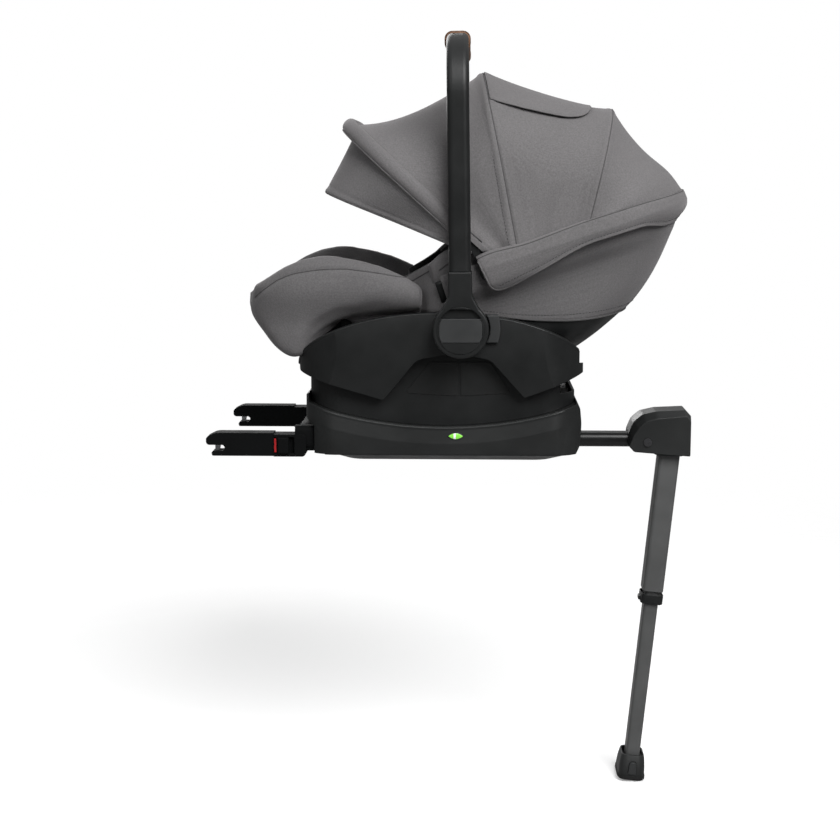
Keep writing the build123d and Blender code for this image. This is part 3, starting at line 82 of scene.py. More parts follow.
def set_inputs(tree, node, inputs):
    """Sets each input to a value, or links it to another node's socket."""
    for key, value in inputs.items():
        if isinstance(value, bpy.types.NodeSocket):
            tree.links.new(value, node.inputs[key])
        else:
            node.inputs[key].default_value = value


def add_node(tree, kind, inputs=None, **attributes):
    node = tree.nodes.new("ShaderNode" + kind)
    for key, value in attributes.items():
        setattr(node, key, value)
    set_inputs(tree, node, inputs or {})
    return node


def grey(level):
    return (level, level, level, 1)


def shade(color, share):
    return (*(min(1.0, c * share) for c in color), 1)


def mixed(tree, factor, low, high, blend="MIX"):
    """A colour between two others, by a factor."""
    return add_node(tree, "Mix", {0: factor, 6: low, 7: high}, data_type="RGBA", blend_type=blend).outputs[2]


def noise(tree, place, size, detail=3.0, rough=0.55):
    """Noise whose grains are about size metres across."""
    inputs = {"Scale": 1 / size, "Detail": detail, "Roughness": rough, "Vector": place}
    return add_node(tree, "TexNoise", inputs).outputs["Fac"]


def ranged(tree, value, low, high, start=0.0, end=1.0, way="LINEAR"):
    inputs = {"From Min": start, "From Max": end, "To Min": low, "To Max": high, "Value": value}
    return add_node(tree, "MapRange", inputs, interpolation_type=way).outputs["Result"]


def math_node(tree, operation, first, second):
    return add_node(tree, "Math", {0: first, 1: second}, operation=operation).outputs[0]


def bump(tree, height, strength, distance, normal=None):
    inputs = {"Strength": strength, "Distance": distance, "Height": height}
    if normal is not None:
        inputs["Normal"] = normal
    return add_node(tree, "Bump", inputs).outputs["Normal"]


def bands(tree, place, axis, period):
    inputs = {"Scale": WAVE_PERIOD / period, "Distortion": 0.6, "Detail": 1.0, "Vector": place}
    wave = add_node(tree, "TexWave", inputs, wave_type="BANDS", bands_direction=axis, wave_profile="SIN")
    return wave.outputs["Fac"]


def start_material(name, color, roughness, specular, settings=None):
    """A new material with its tree, its shader and the place on the object."""
    paint = bpy.data.materials.new(name)
    paint.use_nodes = True
    paint.diffuse_color = (*color, 1)
    tree = paint.node_tree
    shader = tree.nodes["Principled BSDF"]
    plain = {"Base Color": (*color, 1), "Roughness": roughness, "Specular IOR Level": specular}
    set_inputs(tree, shader, {**plain, **(settings or {})})
    return paint, tree, shader, add_node(tree, "TexCoord").outputs["Object"]


# Camera, light and floor

CAMERA_PLACE = (0.015, -2.5, 0.41853)
CAMERA_PITCH, CAMERA_YAW = math.radians(8.6653), math.radians(-1.8035)
CAMERA_LENS, CAMERA_SENSOR, CAMERA_CLIP = 70.3, 36, 50
LAMPS = (
    ("key", (1.2, -2.4, 2.3), (0.05, 0, 0.2), 2.4, 155),
    ("fill", (-1.8, -2.4, 2.0), (0, 0, 0.3), 2.0, 20),
    ("back", (-1.0, 3.0, 1.3), (0, 0, 0.25), 2.4, 60),
)
SKY_LIGHT, SKY_LOW, SKY_HIGH = 0.22, 0.1, 0.8
SKY_BOTTOM, SKY_TOP = -0.1, 0.85
FLOOR_SIZE, FLOOR_GAP, FLOOR_ROUGH = 12.0, 0.0005, 0.9
FLOOR_NEAR, FLOOR_FAR, FLOOR_LIFT = 0.9, 2.6, 0.22
FLOOR_BOUNCE, FLOOR_PALE = 0.4, 0.9


def linked(name, data):
    """A new object in the scene."""
    thing = bpy.data.objects.new(name, data)
    bpy.context.scene.collection.objects.link(thing)
    return thing


def aim(thing, place, direction):
    thing.location = place
    thing.rotation_mode = "QUATERNION"
    thing.rotation_quaternion = Vector(direction).to_track_quat("-Z", "Y")


def add_camera():
    data = bpy.data.cameras.new("camera")
    data.lens, data.sensor_width, data.clip_end = CAMERA_LENS, CAMERA_SENSOR, CAMERA_CLIP
    camera = linked("camera", data)
    level = math.cos(CAMERA_PITCH)
    forward = (math.sin(CAMERA_YAW) * level, math.cos(CAMERA_YAW) * level, -math.sin(CAMERA_PITCH))
    aim(camera, CAMERA_PLACE, forward)
    bpy.context.scene.camera = camera


def add_lamps():
    for name, place, target, size, power in LAMPS:
        data = bpy.data.lights.new(name, "AREA")
        data.shape, data.size, data.energy = "DISK", size, power
        aim(linked(name, data), place, Vector(target) - Vector(place))


def add_world():
    """A white surround for the eye, an even one as light, and one that darkens downward in reflections."""
    world = bpy.data.worlds.new("studio")
    world.use_nodes = True
    bpy.context.scene.world = world
    tree = world.node_tree
    path = add_node(tree, "LightPath").outputs
    seen = math_node(tree, "MAXIMUM", path["Is Camera Ray"], path["Is Transmission Ray"])
    direction = add_node(tree, "SeparateXYZ", {0: add_node(tree, "TexCoord").outputs["Generated"]})
    sky = ranged(tree, direction.outputs["Z"], SKY_LOW, SKY_HIGH, SKY_BOTTOM, SKY_TOP)
    mirrored = add_node(tree, "Mix", {0: path["Is Glossy Ray"], 2: SKY_LIGHT, 3: sky}).outputs[0]
    level = add_node(tree, "Mix", {0: seen, 2: mirrored, 3: 1.0}).outputs[0]
    set_inputs(tree, tree.nodes["Background"], {"Color": grey(1), "Strength": level})


def add_floor(height):
    """A floor that is paler for the eye than as light, and clears away into the surround."""
    paint, tree, shader, place = start_material("floor", (0.8, 0.8, 0.8), FLOOR_ROUGH, 0.0)
    eye = add_node(tree, "LightPath").outputs["Is Camera Ray"]
    set_inputs(tree, shader, {
        "Base Color": mixed(tree, eye, grey(FLOOR_BOUNCE), grey(FLOOR_PALE)),
        "Emission Color": grey(1),
        "Emission Strength": math_node(tree, "MULTIPLY", eye, FLOOR_LIFT),
    })
    reach = add_node(tree, "VectorMath", {0: place}, operation="LENGTH").outputs["Value"]
    fade = ranged(tree, reach, 0.0, 1.0, FLOOR_NEAR, FLOOR_FAR, "SMOOTHSTEP")
    clear = add_node(tree, "BsdfTransparent").outputs[0]
    mix = add_node(tree, "MixShader", {0: fade, 1: shader.outputs[0], 2: clear})
    set_inputs(tree, tree.nodes["Material Output"], {"Surface": mix.outputs[0]})
    mesh = bpy.data.meshes.new("floor")
    corners = [(x * FLOOR_SIZE, y * FLOOR_SIZE, height) for x, y in ((-1, -1), (1, -1), (1, 1), (-1, 1))]
    mesh.from_pydata(corners, [], [(0, 1, 2, 3)])
    mesh.materials.append(paint)
    linked("floor", mesh)


add_camera()
add_world()
add_floor(cad_box[0].z - FLOOR_GAP)
add_lamps()
bpy.context.scene.view_settings.view_transform = "Standard"


# Materials

YARN_SIZE, CLOTH_PATCH, PLASTIC_PATCH, EDGE_HIGHLIGHT_PATCH = 0.0022, 0.09, 0.05, 0.012
SOFT_EDGE = 0.0014
RIB_PERIOD, WEFT_PERIOD = 0.0022, 0.0011
PEBBLE_SCALE = 620.0


def cloth_material(name, color, period=0.0012, melange=0.2, sheen=0.3, depth=0.0004):
    """Woven cloth: crossed threads, a melange yarn and slow changes of tone."""
    settings = {"Sheen Weight": sheen, "Sheen Roughness": 0.5, "Sheen Tint": shade(color, 4.5)}
    paint, tree, shader, place = start_material(name, color, 0.9, 0.22, settings)
    across = math_node(tree, "ADD", bands(tree, place, "X", period), bands(tree, place, "Z", period))
    weave = math_node(tree, "ADD", across, bands(tree, place, "Y", period))
    yarn = noise(tree, place, YARN_SIZE, 4.0, 0.7)
    slow = noise(tree, place, CLOTH_PATCH, 2.0)
    tone = mixed(tree, ranged(tree, yarn, 0, 1, 0.3, 0.7), shade(color, 1 - melange), shade(color, 1 + melange))
    tone = mixed(tree, ranged(tree, weave, 0.18, 0.0, 0.6, 2.2), tone, grey(0.45), "MULTIPLY")
    tone = mixed(tree, ranged(tree, slow, 0.0, 0.14, 0.35, 0.7), tone, grey(0.5), "MULTIPLY")
    height = math_node(tree, "ADD", math_node(tree, "MULTIPLY", weave, 0.4), yarn)
    rough = ranged(tree, yarn, 0.82, 0.97)
    set_inputs(tree, shader, {"Base Color": tone, "Normal": bump(tree, height, 0.4, depth), "Roughness": rough})
    return paint


def plastic_material(name, color, roughness, specular, grain=0.0007, depth=0.00012, edge=1.7):
    """Moulded plastic or paint: a fine grain, softened edges and a painted highlight that makes the edges paler in
    patches.
    """
    paint, tree, shader, place = start_material(name, color, roughness, specular)
    slow = noise(tree, place, PLASTIC_PATCH)
    soft = add_node(tree, "Bevel", {"Radius": SOFT_EDGE}, samples=4).outputs["Normal"]
    flat = add_node(tree, "NewGeometry").outputs["Normal"]
    turn = add_node(tree, "VectorMath", {0: soft, 1: flat}, operation="DOT_PRODUCT").outputs["Value"]
    # Paler patches along the edges, found from the bevelled normal: a painted highlight where rounded edges would
    # catch the light.
    highlight_patches = ranged(tree, noise(tree, place, EDGE_HIGHLIGHT_PATCH), 0.4, 1.0, 0.35, 0.65)
    edge_highlight = math_node(tree, "MULTIPLY", ranged(tree, turn, 1.0, 0.0, 0.85, 0.995), highlight_patches)
    body = mixed(tree, ranged(tree, slow, 0, 1, 0.3, 0.7), shade(color, 0.88), shade(color, 1.12))
    set_inputs(tree, shader, {
        "Base Color": mixed(tree, edge_highlight, body, shade(color, edge)),
        "Roughness": ranged(tree, slow, roughness - 0.06, roughness + 0.06, 0.3, 0.7),
        "Normal": bump(tree, noise(tree, place, grain, 2.0), 0.5, depth, soft),
    })
    return paint


def steel_material(name, color):
    """Drawn steel, with fine lines along it."""
    paint, tree, shader, place = start_material(name, color, 0.34, 0.5, {"Metallic": 1.0})
    drawn = add_node(tree, "Mapping", {"Scale": (0.06, 1.0, 1.0), "Vector": place}).outputs["Vector"]
    lines = noise(tree, drawn, 0.0009)
    set_inputs(tree, shader, {
        "Base Color": mixed(tree, lines, shade(color, 0.8), shade(color, 1.1)),
        "Roughness": ranged(tree, lines, 0.26, 0.46),
        "Normal": bump(tree, lines, 0.2, 0.0001),
    })
    return paint


def leather_material(name, color):
    """Pebbled leather with a thin coat."""
    settings = {"Coat Weight": 0.06, "Coat Roughness": 0.4}
    paint, tree, shader, place = start_material(name, color, 0.5, 0.35, settings)
    cells = add_node(tree, "TexVoronoi", {"Scale": PEBBLE_SCALE, "Vector": place}, feature="DISTANCE_TO_EDGE")
    pebble = ranged(tree, cells.outputs["Distance"], 0, 1, 0, 0.25)
    slow = noise(tree, place, 0.03, 4.0)
    tone = mixed(tree, ranged(tree, slow, 0, 1, 0.3, 0.7), shade(color, 0.78), shade(color, 1.2))
    set_inputs(tree, shader, {
        "Base Color": mixed(tree, pebble, shade(color, 0.6), tone),
        "Roughness": ranged(tree, slow, 0.42, 0.6),
        "Normal": bump(tree, pebble, 0.45, 0.00025),
    })
    return paint


def webbing_material(name, color):
    """Strap webbing: close ribs along the strap and a fine cross weave."""
    settings = {"Sheen Weight": 0.12, "Sheen Roughness": 0.4}
    paint, tree, shader, place = start_material(name, color, 0.75, 0.25, settings)
    ribs, rows = bands(tree, place, "Y", RIB_PERIOD), bands(tree, place, "X", WEFT_PERIOD)
    height = math_node(tree, "ADD", ribs, math_node(tree, "MULTIPLY", rows, 0.5))
    tone = mixed(tree, ribs, shade(color, 0.65), shade(color, 1.25))
    set_inputs(tree, shader, {"Base Color": tone, "Normal": bump(tree, height, 0.5, 0.0003)})
    return paint


def lens_material(name, color, painted_glow):
    """A clear moulded window over a coloured flag; the flag can be given a painted glow, as though lit from within.
    """
    settings = {"Coat Weight": 0.5, "Coat Roughness": 0.08, "Emission Strength": painted_glow, "Emission Color": (*color, 1)}
    paint, tree, shader, place = start_material(name, color, 0.16, 0.5, settings)
    cast = noise(tree, place, 0.004, 2.0)
    tone = mixed(tree, cast, shade(color, 0.9), shade(color, 1.12))
    set_inputs(tree, shader, {"Base Color": tone, "Normal": bump(tree, cast, 0.06, 0.0002)})
    return paint


# Plastics: colour, roughness and specular level, then grain, its depth and the shade of the painted edge highlight.
PLASTICS = {
    "shell": ((0.0078, 0.0084, 0.0085), 0.46, 0.24),
    "shell_soft": ((0.0088, 0.0094, 0.0095), 0.4, 0.26, 0.0007, 0.00012, 1.9),
    "base": ((0.009, 0.0097, 0.0097), 0.46, 0.36),
    "trim_grey": ((0.026, 0.027, 0.0275), 0.45, 0.3, 0.0007, 0.00012, 1.5),
    "label": ((0.0125, 0.013, 0.013), 0.35, 0.25, 0.002, 0.00004),
    "tube": ((0.07, 0.071, 0.071), 0.4, 0.35, 0.0005, 0.00012, 1.35),
    "rubber": ((0.012, 0.012, 0.012), 0.75, 0.2, 0.0012, 0.0002),
    "button_red": ((0.5, 0.02, 0.02), 0.4, 0.4, 0.0007, 0.00012, 1.15),
    "flag_white": ((0.8, 0.8, 0.8), 0.35, 0.4, 0.0007, 0.00012, 1.0),
    "latch": ((0.0036, 0.0039, 0.0041), 0.75, 0.06),
    "boom": ((0.006, 0.0062, 0.0063), 0.36, 0.3, 0.0007, 0.00004, 2.0),
}
paints = {name: plastic_material(name, *look) for name, look in PLASTICS.items()}
paints.update({
    "steel": steel_material("steel", (0.5, 0.51, 0.52)),
    "screw": steel_material("screw", (0.1, 0.1, 0.105)),
    "cloth": cloth_material("cloth", (0.135, 0.13, 0.132)),
    "cloth_dark": cloth_material("cloth_dark", (0.118, 0.114, 0.116)),
    # The lining's dark tone is partly the liner fabric's own and partly painted shade for the shaded inside of the
    # seat.
    "lining": cloth_material("lining", (0.045, 0.0445, 0.0455), period=0.0018, sheen=0.15),
    "piping": cloth_material("piping", (0.075, 0.073, 0.074), period=0.0008, sheen=0.2),
    "webbing": webbing_material("webbing", (0.03, 0.03, 0.031)),
    "thread": webbing_material("thread", (0.05, 0.049, 0.05)),
    "leather": leather_material("leather", (0.2, 0.1, 0.055)),
    # The green lens gets a painted glow, as though lit from within.
    "lens_green": lens_material("lens_green", (0.2, 0.62, 0.06), painted_glow=0.25),
    "flag_red": lens_material("flag_red", (0.33, 0.014, 0.016), painted_glow=0.0),
})
OWN_PAINTS = {
    "latch": ("anchor_connectors", "anchor_slider_right", "anchor_slider_left", "anchor_tubes", "anchor_cross_tube"),
    "boom": ("leg_boom",),
    "screw": ("leg_pivot_screw",),
}

for node in nodes.values():
    for index, material in enumerate(node.data.materials):
        node.data.materials[index] = paints[material.name.split(".")[0]]
for paint_name, node_names in OWN_PAINTS.items():
    for node_name in node_names:
        nodes[node_name].data.materials[0] = paints[paint_name]


# Mesh helpers

EDGE_ROUND = 0.4
STITCH_ENDS = ((-0.5, 0.35, 0.1), (-0.32, 1.0, 1.0), (0.32, 1.0, 1.0), (0.5, 0.35, 0.1))
STITCH_SINK = -0.3


def make_piece(name, points, faces, paint):
    """A mesh piece with one paint, or with a list of them."""
    mesh = bpy.data.meshes.new(name)
    mesh.from_pydata((np.asarray(points, float).reshape(-1, 3) * MM).tolist(), [], faces)
    mesh.validate()
    mesh.shade_smooth()
    names = [paint] if isinstance(paint, str) else paint
    for one in names:
        mesh.materials.append(paints[one])
    piece = linked(name, mesh)
    return piece


def second_paint(piece, start, end=None):
    """Gives a run of a piece's faces the second of its paints."""
    indices = np.zeros(len(piece.data.polygons), np.int32)
    indices[start:end] = 1
    piece.data.polygons.foreach_set("material_index", indices)


def thicken(piece, thickness):
    wall = piece.modifiers.new("wall", "SOLIDIFY")
    wall.thickness, wall.offset = thickness * MM, -1


def grid_faces(rows, columns, flip=False, loop=False):
    faces = []
    for i in range(rows - 1):
        for j in range(columns if loop else columns - 1):
            k = (j + 1) % columns
            face = (i * columns + j, i * columns + k, (i + 1) * columns + k, (i + 1) * columns + j)
            faces.append(face[::-1] if flip else face)
    return faces


def grid_piece(name, grid, paint, flip=False):
    return make_piece(name, grid, grid_faces(*grid.shape[:2], flip), paint)


def unit(vectors):
    return vectors / np.maximum(np.linalg.norm(vectors, axis=-1, keepdims=True), TINY)


def grid_normals(grid):
    """Unit normals of a grid of points, from its rows and columns."""
    return unit(np.cross(np.gradient(grid, axis=0), np.gradient(grid, axis=1)))


def pushed(grid, push):
    return grid + grid_normals(grid) * push[..., None]


def sheet_piece(name, node, grid, thick, paint):
    """A cloth layer for a node, with the grid as its outer face, thick through and with closed round edges."""
    rows, columns = grid.shape[:2]
    normal = grid_normals(grid)
    edge = [(0, j) for j in range(columns)] + [(i, columns - 1) for i in range(1, rows)]
    edge += [(rows - 1, j) for j in range(columns - 2, -1, -1)] + [(i, 0) for i in range(rows - 2, 0, -1)]
    i, j = np.array(edge).T
    centre, up = grid[i, j], normal[i, j]
    out = np.cross(unit(np.roll(centre, -1, axis=0) - np.roll(centre, 1, axis=0)), up)
    inside = grid[np.clip(i, 1, rows - 2), np.clip(j, 1, columns - 2)]
    out *= np.sign(np.sum(out * (centre - inside), axis=1, keepdims=True))
    round_edge = centre - up * thick / 2 + out * thick * EDGE_ROUND
    count, total = rows * columns, len(edge)
    faces = grid_faces(rows, columns, True)
    faces += [tuple(v + count for v in face) for face in grid_faces(rows, columns)]
    ring = [a * columns + b for a, b in edge]
    for k in range(total):
        after = (k + 1) % total
        first, second, rim, rim_next = ring[k], ring[after], 2 * count + k, 2 * count + after
        faces += [(rim_next, rim, first, second), (rim, rim_next, second + count, first + count)]
    points = np.concatenate([grid.reshape(-1, 3), (grid - normal * thick).reshape(-1, 3), round_edge])
    piece = make_piece(name, points, faces, paint)
    inner_faces = (rows - 1) * (columns - 1)
    second_paint(piece, inner_faces, 2 * inner_faces)
    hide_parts(node)
    return piece, edge


def path_length(points):
    return float(np.linalg.norm(np.diff(points, axis=0), axis=1).sum())


def path_steps(points):
    return np.concatenate([[0], np.cumsum(np.linalg.norm(np.diff(points, axis=0), axis=1))])


def between(at, known, points):
    """Points at places along a line whose points stand at known places."""
    return np.stack([np.interp(at, known, points[:, k]) for k in range(3)], axis=-1)


def resampled(points, count):
    """Points at even steps along a line of points."""
    points = np.asarray(points, float)
    steps = path_steps(points)
    return between(np.linspace(0, steps[-1], count), steps, points)


def smoothed(points, rounds):
    points = np.array(points, float)
    for _ in range(rounds):
        points[1:-1] = 0.25 * points[:-2] + 0.5 * points[1:-1] + 0.25 * points[2:]
    return points


def frames_along(points, ups):
    """Tangents, sides and normals along a line, with the normals near the given ups."""
    tangent = unit(np.gradient(points, axis=0))
    side = unit(np.cross(tangent, ups))
    return tangent, side, np.cross(side, tangent)


def swept(name, points, ups, outline, paint, capped=True):
    """A closed outline of (side, up) pairs carried along a line."""
    points, outline = np.asarray(points, float), np.asarray(outline, float)
    _, side, normal = frames_along(points, np.asarray(ups, float))
    rings = points[:, None] + side[:, None] * outline[None, :, :1] + normal[:, None] * outline[None, :, 1:]
    rows, columns = rings.shape[:2]
    faces = grid_faces(rows, columns, True, loop=True)
    if capped:
        faces.append(tuple(range(columns)))
        faces.append(tuple((rows - 1) * columns + k for k in range(columns))[::-1])
    return make_piece(name, rings, faces, paint)


def ellipse(wide, high, count):
    angles = np.linspace(0, 2 * math.pi, count, endpoint=False)
    return [(wide * math.cos(a), high * math.sin(a)) for a in angles]


def cord(name, body, points, ups, size, paint, count=8):
    """An oval cord along a line, such as a seam or a piping, that rides a body."""
    piece = swept(name, points, ups, ellipse(*size, count), paint)
    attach(piece, body)
    return piece


def stitches(name, body, points, ups, pitch=4.6, length=3.0, width=0.75, height=0.55):
    """A row of thread stitches laid along a line on a surface."""
    count = max(2, int(path_length(points) / pitch))
    centres = resampled(points, count * 2 + 1)[1::2]
    lifted = unit(between(np.linspace(0, len(ups) - 1, count), range(len(ups)), ups))
    tangent, side, normal = frames_along(centres, lifted)
    verts, faces = [], []
    for k in range(count):
        base = len(verts)
        for share, wide, high in STITCH_ENDS:
            spot = centres[k] + tangent[k] * share * length
            for s, h in ((-1, STITCH_SINK), (-0.7, height * high), (0.7, height * high), (1, STITCH_SINK)):
                verts.append(spot + side[k] * s * wide * width / 2 + normal[k] * h)
        for start in range(base, base + 12, 4):
            for corner in range(4):
                a, b = start + corner, start + (corner + 1) % 4
                faces.append((a, b, b + 4, a + 4))
        faces += [tuple(range(base + 3, base - 1, -1)), tuple(range(base + 12, base + 16))]
    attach(make_piece(name, verts, faces, "thread"), body)


def curve_values(known, values, at):
    """Values on a smooth line through known places, with no overshoot between them."""
    known, values = np.asarray(known, float), np.asarray(values, float)
    at = np.clip(np.asarray(at, float), known[0], known[-1])
    step = np.diff(known)
    slope = np.diff(values) / step
    tangent = np.zeros(len(known))
    tangent[0], tangent[-1] = slope[0], slope[-1]
    for k in range(1, len(known) - 1):
        if slope[k - 1] * slope[k] > 0:
            first, second = 2 * step[k] + step[k - 1], step[k] + 2 * step[k - 1]
            tangent[k] = (first + second) / (first / slope[k - 1] + second / slope[k])
    k = np.clip(np.searchsorted(known, at) - 1, 0, len(known) - 2)
    t = (at - known[k]) / step[k]
    bend = (1 + 2 * t) * (1 - t) ** 2 * values[k] + t**2 * (3 - 2 * t) * values[k + 1]
    return bend + step[k] * (t * (1 - t) ** 2 * tangent[k] + t**2 * (t - 1) * tangent[k + 1])


def ramp(value, low, high):
    t = np.clip((np.asarray(value, float) - low) / (high - low), 0, 1)
    return t * t * (3 - 2 * t)


def hump(distance, middle, width):
    return np.exp(-(((distance - middle) / width) ** 2))


def flat_size(grid):
    """Width, length and area in metres of the cut that a grid of cloth was sewn from."""
    wide = max(path_length(row) for row in grid)
    long = max(path_length(grid[:, k]) for k in range(grid.shape[1]))
    a, b, c, d = grid[:-1, :-1], grid[:-1, 1:], grid[1:, 1:], grid[1:, :-1]
    halves = (np.linalg.norm(np.cross(p - a, q - a), axis=2) / 2 for p, q in ((b, c), (c, d)))
    area = float(sum(halves).sum()) * MM * MM
    flat = (wide * MM, long * MM)
    return flat, min(max(area, 0.3 * flat[0] * flat[1]), flat[0] * flat[1])


def declare_sheet(grid):
    flat, area = flat_size(grid)


# Canopy

VISOR = ((14, 304), (-197, 388), 193.8, 62)
VISOR_TOP = ((10, 311.3), (-159, 465), 185, 112)
FRONT_BOW = ((16, 318), (-168, 485), 190, 118)
FRONT_SAG = ((50, 322), (-78, 499), 186, 118)
MID_BOW = ((77, 320), (30, 558), 190, 118)
MID_SAG = ((128, 338), (118, 522), 187, 118)
REAR_BOW = ((180, 350), (217, 506), 190.6, 118)
LEG_STEPS, BEND_STEPS, TOP_STEPS = 16, 18, 16
FRONT_DROP, MID_DROP, REAR_DROP = 18, 12, 10
PANEL_ROWS, VISOR_ROWS, PANEL_THICK = 46, 30, 2.0
HEM_SEAM = 13.4
# Ridges along a panel's seams: from its last seam or its first, then height, distance and width.
FRONT_RIDGES = ((True, 1.9, 6.5, 4.2), (True, -0.9, 0, 1.6), (False, -0.8, HEM_SEAM, 2.2))
MID_RIDGES = ((False, -0.9, 0, 1.8), (True, -0.7, 0, 1.6), (False, 0.5, 5, 3), (True, 0.8, 5, 3))
REAR_RIDGES = ((False, 0.8, 4, 3), (False, -0.8, 0, 1.5))
VISOR_RIDGES = ((False, 0.8, 2.5, 3.5), (False, -0.6, 9, 2))
# Folds above a panel's feet: reach, height, pitch, start and power; then its slow waves: height, length, slant.
FRONT_FOLDS, FRONT_WAVES = (150, 2.6, 9.5, 0.6, 0.7), (0.7, 33, 5)
MID_FOLDS, MID_WAVES = (120, 1.0, 11, 1.1, 1), (0.5, 41, 4)


def arch(section, grow=0.0, drop=0.0):
    """Points along an arch from its right foot over the top to its left foot."""
    foot, apex, half, shoulder = section
    rise = math.hypot(apex[0] - foot[0], apex[1] - foot[1])
    up = ((apex[0] - foot[0]) / rise, (apex[1] - foot[1]) / rise)
    w, top, r = half + grow, rise + grow, shoulder + grow
    line = [(-w, -drop + (top - r + drop) * k / LEG_STEPS) for k in range(LEG_STEPS)]
    for k in range(BEND_STEPS):
        angle = math.pi / 2 * k / BEND_STEPS
        line.append((-w + r - r * math.cos(angle), top - r + r * math.sin(angle)))
    line += [(-w + r + 2 * (w - r) * k / TOP_STEPS, top) for k in range(TOP_STEPS // 2)]
    line = line + [(0, top)] + [(-y, s) for y, s in line[::-1]]
    return np.array([(foot[0] + up[0] * s, y, foot[1] + up[1] * s) for y, s in line])


def close_shares(count):
    """Shares from 0 to 1 that lie closer together at both ends."""
    return 0.5 - 0.5 * np.cos(np.linspace(0, math.pi, count))


def seam_distance(grid):
    """How far each point lies from the first and from the last row, along its column."""
    steps = np.linalg.norm(np.diff(grid, axis=0), axis=2)
    from_first = np.concatenate([np.zeros((1, grid.shape[1])), np.cumsum(steps, axis=0)])
    return from_first, from_first[-1:] - from_first


def ridges(grid, table):
    """How far a panel stands out along its seams."""
    distances = seam_distance(grid)
    return sum(high * hump(distances[at_last], place, wide) for at_last, high, place, wide in table)


def foot_distance(grid):
    """How far each point lies from the nearer foot of its row."""
    steps = np.linalg.norm(np.diff(grid, axis=1), axis=2)
    from_right = np.concatenate([np.zeros((grid.shape[0], 1)), np.cumsum(steps, axis=1)], axis=1)
    return np.minimum(from_right, from_right[:, -1:] - from_right)


def stretch_between(piece):
    """Bakes a panel's placement into its mesh."""
    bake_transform(piece)


def bow_panel(name, node, sections, seams, folds, waves):
    """A panel on a smooth curve through three arches, with raised seams, folds at its feet and slow waves."""
    shares = close_shares(PANEL_ROWS)
    v = shares[:, None, None]
    first, middle, last = sections
    grid = first * (2 * (v - 0.5) * (v - 1)) + middle * (4 * v * (1 - v)) + last * (2 * v * (v - 0.5))
    height = foot_distance(grid)
    reach, high, pitch, start, power = folds
    low, long, slant = waves
    table = shares[:, None]
    inside = np.sin(math.pi * table)
    push = ridges(grid, seams)
    push += high * (1 - ramp(height, 0, reach)) * np.sin(table * pitch + start) * inside**power
    push += low * np.sin(height / long + slant * table) * inside
    grid = pushed(grid, push)
    piece, edge = sheet_piece(name, node, grid, PANEL_THICK, ["cloth", "lining"])
    declare_sheet(grid)
    stretch_between(piece)
    return grid, shares


def front_panel():
    sections = [arch(FRONT_BOW, drop=FRONT_DROP), arch(FRONT_SAG, drop=FRONT_DROP), arch(MID_BOW, drop=MID_DROP)]
    return bow_panel(
        "canopy_front_cloth", "canopy_front_panel", sections, FRONT_RIDGES, FRONT_FOLDS, FRONT_WAVES,
    )[0]


def mid_panel():
    sections = [arch(MID_BOW, drop=MID_DROP), arch(MID_SAG, drop=MID_DROP), arch(REAR_BOW, drop=REAR_DROP)]
    return bow_panel(
        "canopy_mid_cloth", "canopy_mid_panel", sections, MID_RIDGES, MID_FOLDS, MID_WAVES,
    )


VISOR_TUCK, VISOR_TUCK_REACH = 0.16, 130
VISOR_WIRE, VISOR_WIRE_IN, VISOR_INNER = (2.1, 2.1), 2.0, 5.0
VISOR_FACE, VISOR_SAG = 0.92, 0.8
VISOR_HIDE_IN, VISOR_HIDE_DROP, VISOR_TOP_DROP = 6.0, 12, 6


def visor_edge(grow=0.0):
    """The visor's lower edge, which draws in between the canopy's sides."""
    line = arch(VISOR, grow=grow)
    steps = path_steps(line)
    line[:, 1] *= 1 - VISOR_TUCK * ramp(np.minimum(steps, steps[-1] - steps), 0, VISOR_TUCK_REACH)
    return line


def visor_wire():
    """The spring wire along the visor's lower edge, in its sewn sleeve."""
    line = visor_edge(-VISOR_WIRE_IN)
    wire = cord("visor_wire", "visor", line, unit(line - visor_edge(-VISOR_INNER)), VISOR_WIRE, "cloth_dark", 10)
    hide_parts("canopy_visor_wire")


def visor_panel():
    """The visor, from its wire up to the front bow and in under the hem."""
    shares = np.linspace(0, 1, VISOR_ROWS)
    low, high = visor_edge(), arch(VISOR_TOP, drop=VISOR_TOP_DROP)
    hidden = arch(FRONT_BOW, grow=-VISOR_HIDE_IN, drop=VISOR_HIDE_DROP)
    face = np.minimum(shares / VISOR_FACE, 1)[:, None, None]
    beyond = (np.maximum(shares - VISOR_FACE, 0) / (1 - VISOR_FACE))[:, None, None]
    grid = low + (high - low) * face + (hidden - high) * beyond
    grid = pushed(grid, ridges(grid, VISOR_RIDGES) - VISOR_SAG * np.sin(math.pi * shares[:, None]))
    # The visor is the canopy's cloth but takes the darker cloth_dark paint: painted shade for the shade it lies in
    # under the hem.
    piece, edge = sheet_piece("canopy_visor_cloth", "canopy_visor", grid, PANEL_THICK, ["cloth_dark", "lining"])
    declare_sheet(grid)
    stretch_between(piece)


HEM_SHIFT = np.array([0.67, 0, 0.74])
HEM_SIZE, HEM_IN, HEM_TRIM, HEM_FILL = (10.9, 7.7), 3.5, 2, 0.7
HEM_SEAM_SIZE, HEM_CORD_SIZE, HEM_CORD_UP = (1.0, 0.9), (1.4, 1.4), 1.5
BOW_SEAM_SIZE, BOW_SEAM_UP, BOW_STITCH_AT = (0.7, 0.6), 0.25, 12.5


def row_at(grid, distances, wanted):
    """The line on a panel at a distance from one of its seams, with its normals."""
    columns = np.arange(grid.shape[1])
    places = np.argmin(np.abs(distances - wanted), axis=0)
    ups = grid_normals(grid)[places, columns]
    return smoothed(grid[places, columns] + ups * 0.2, 6), ups


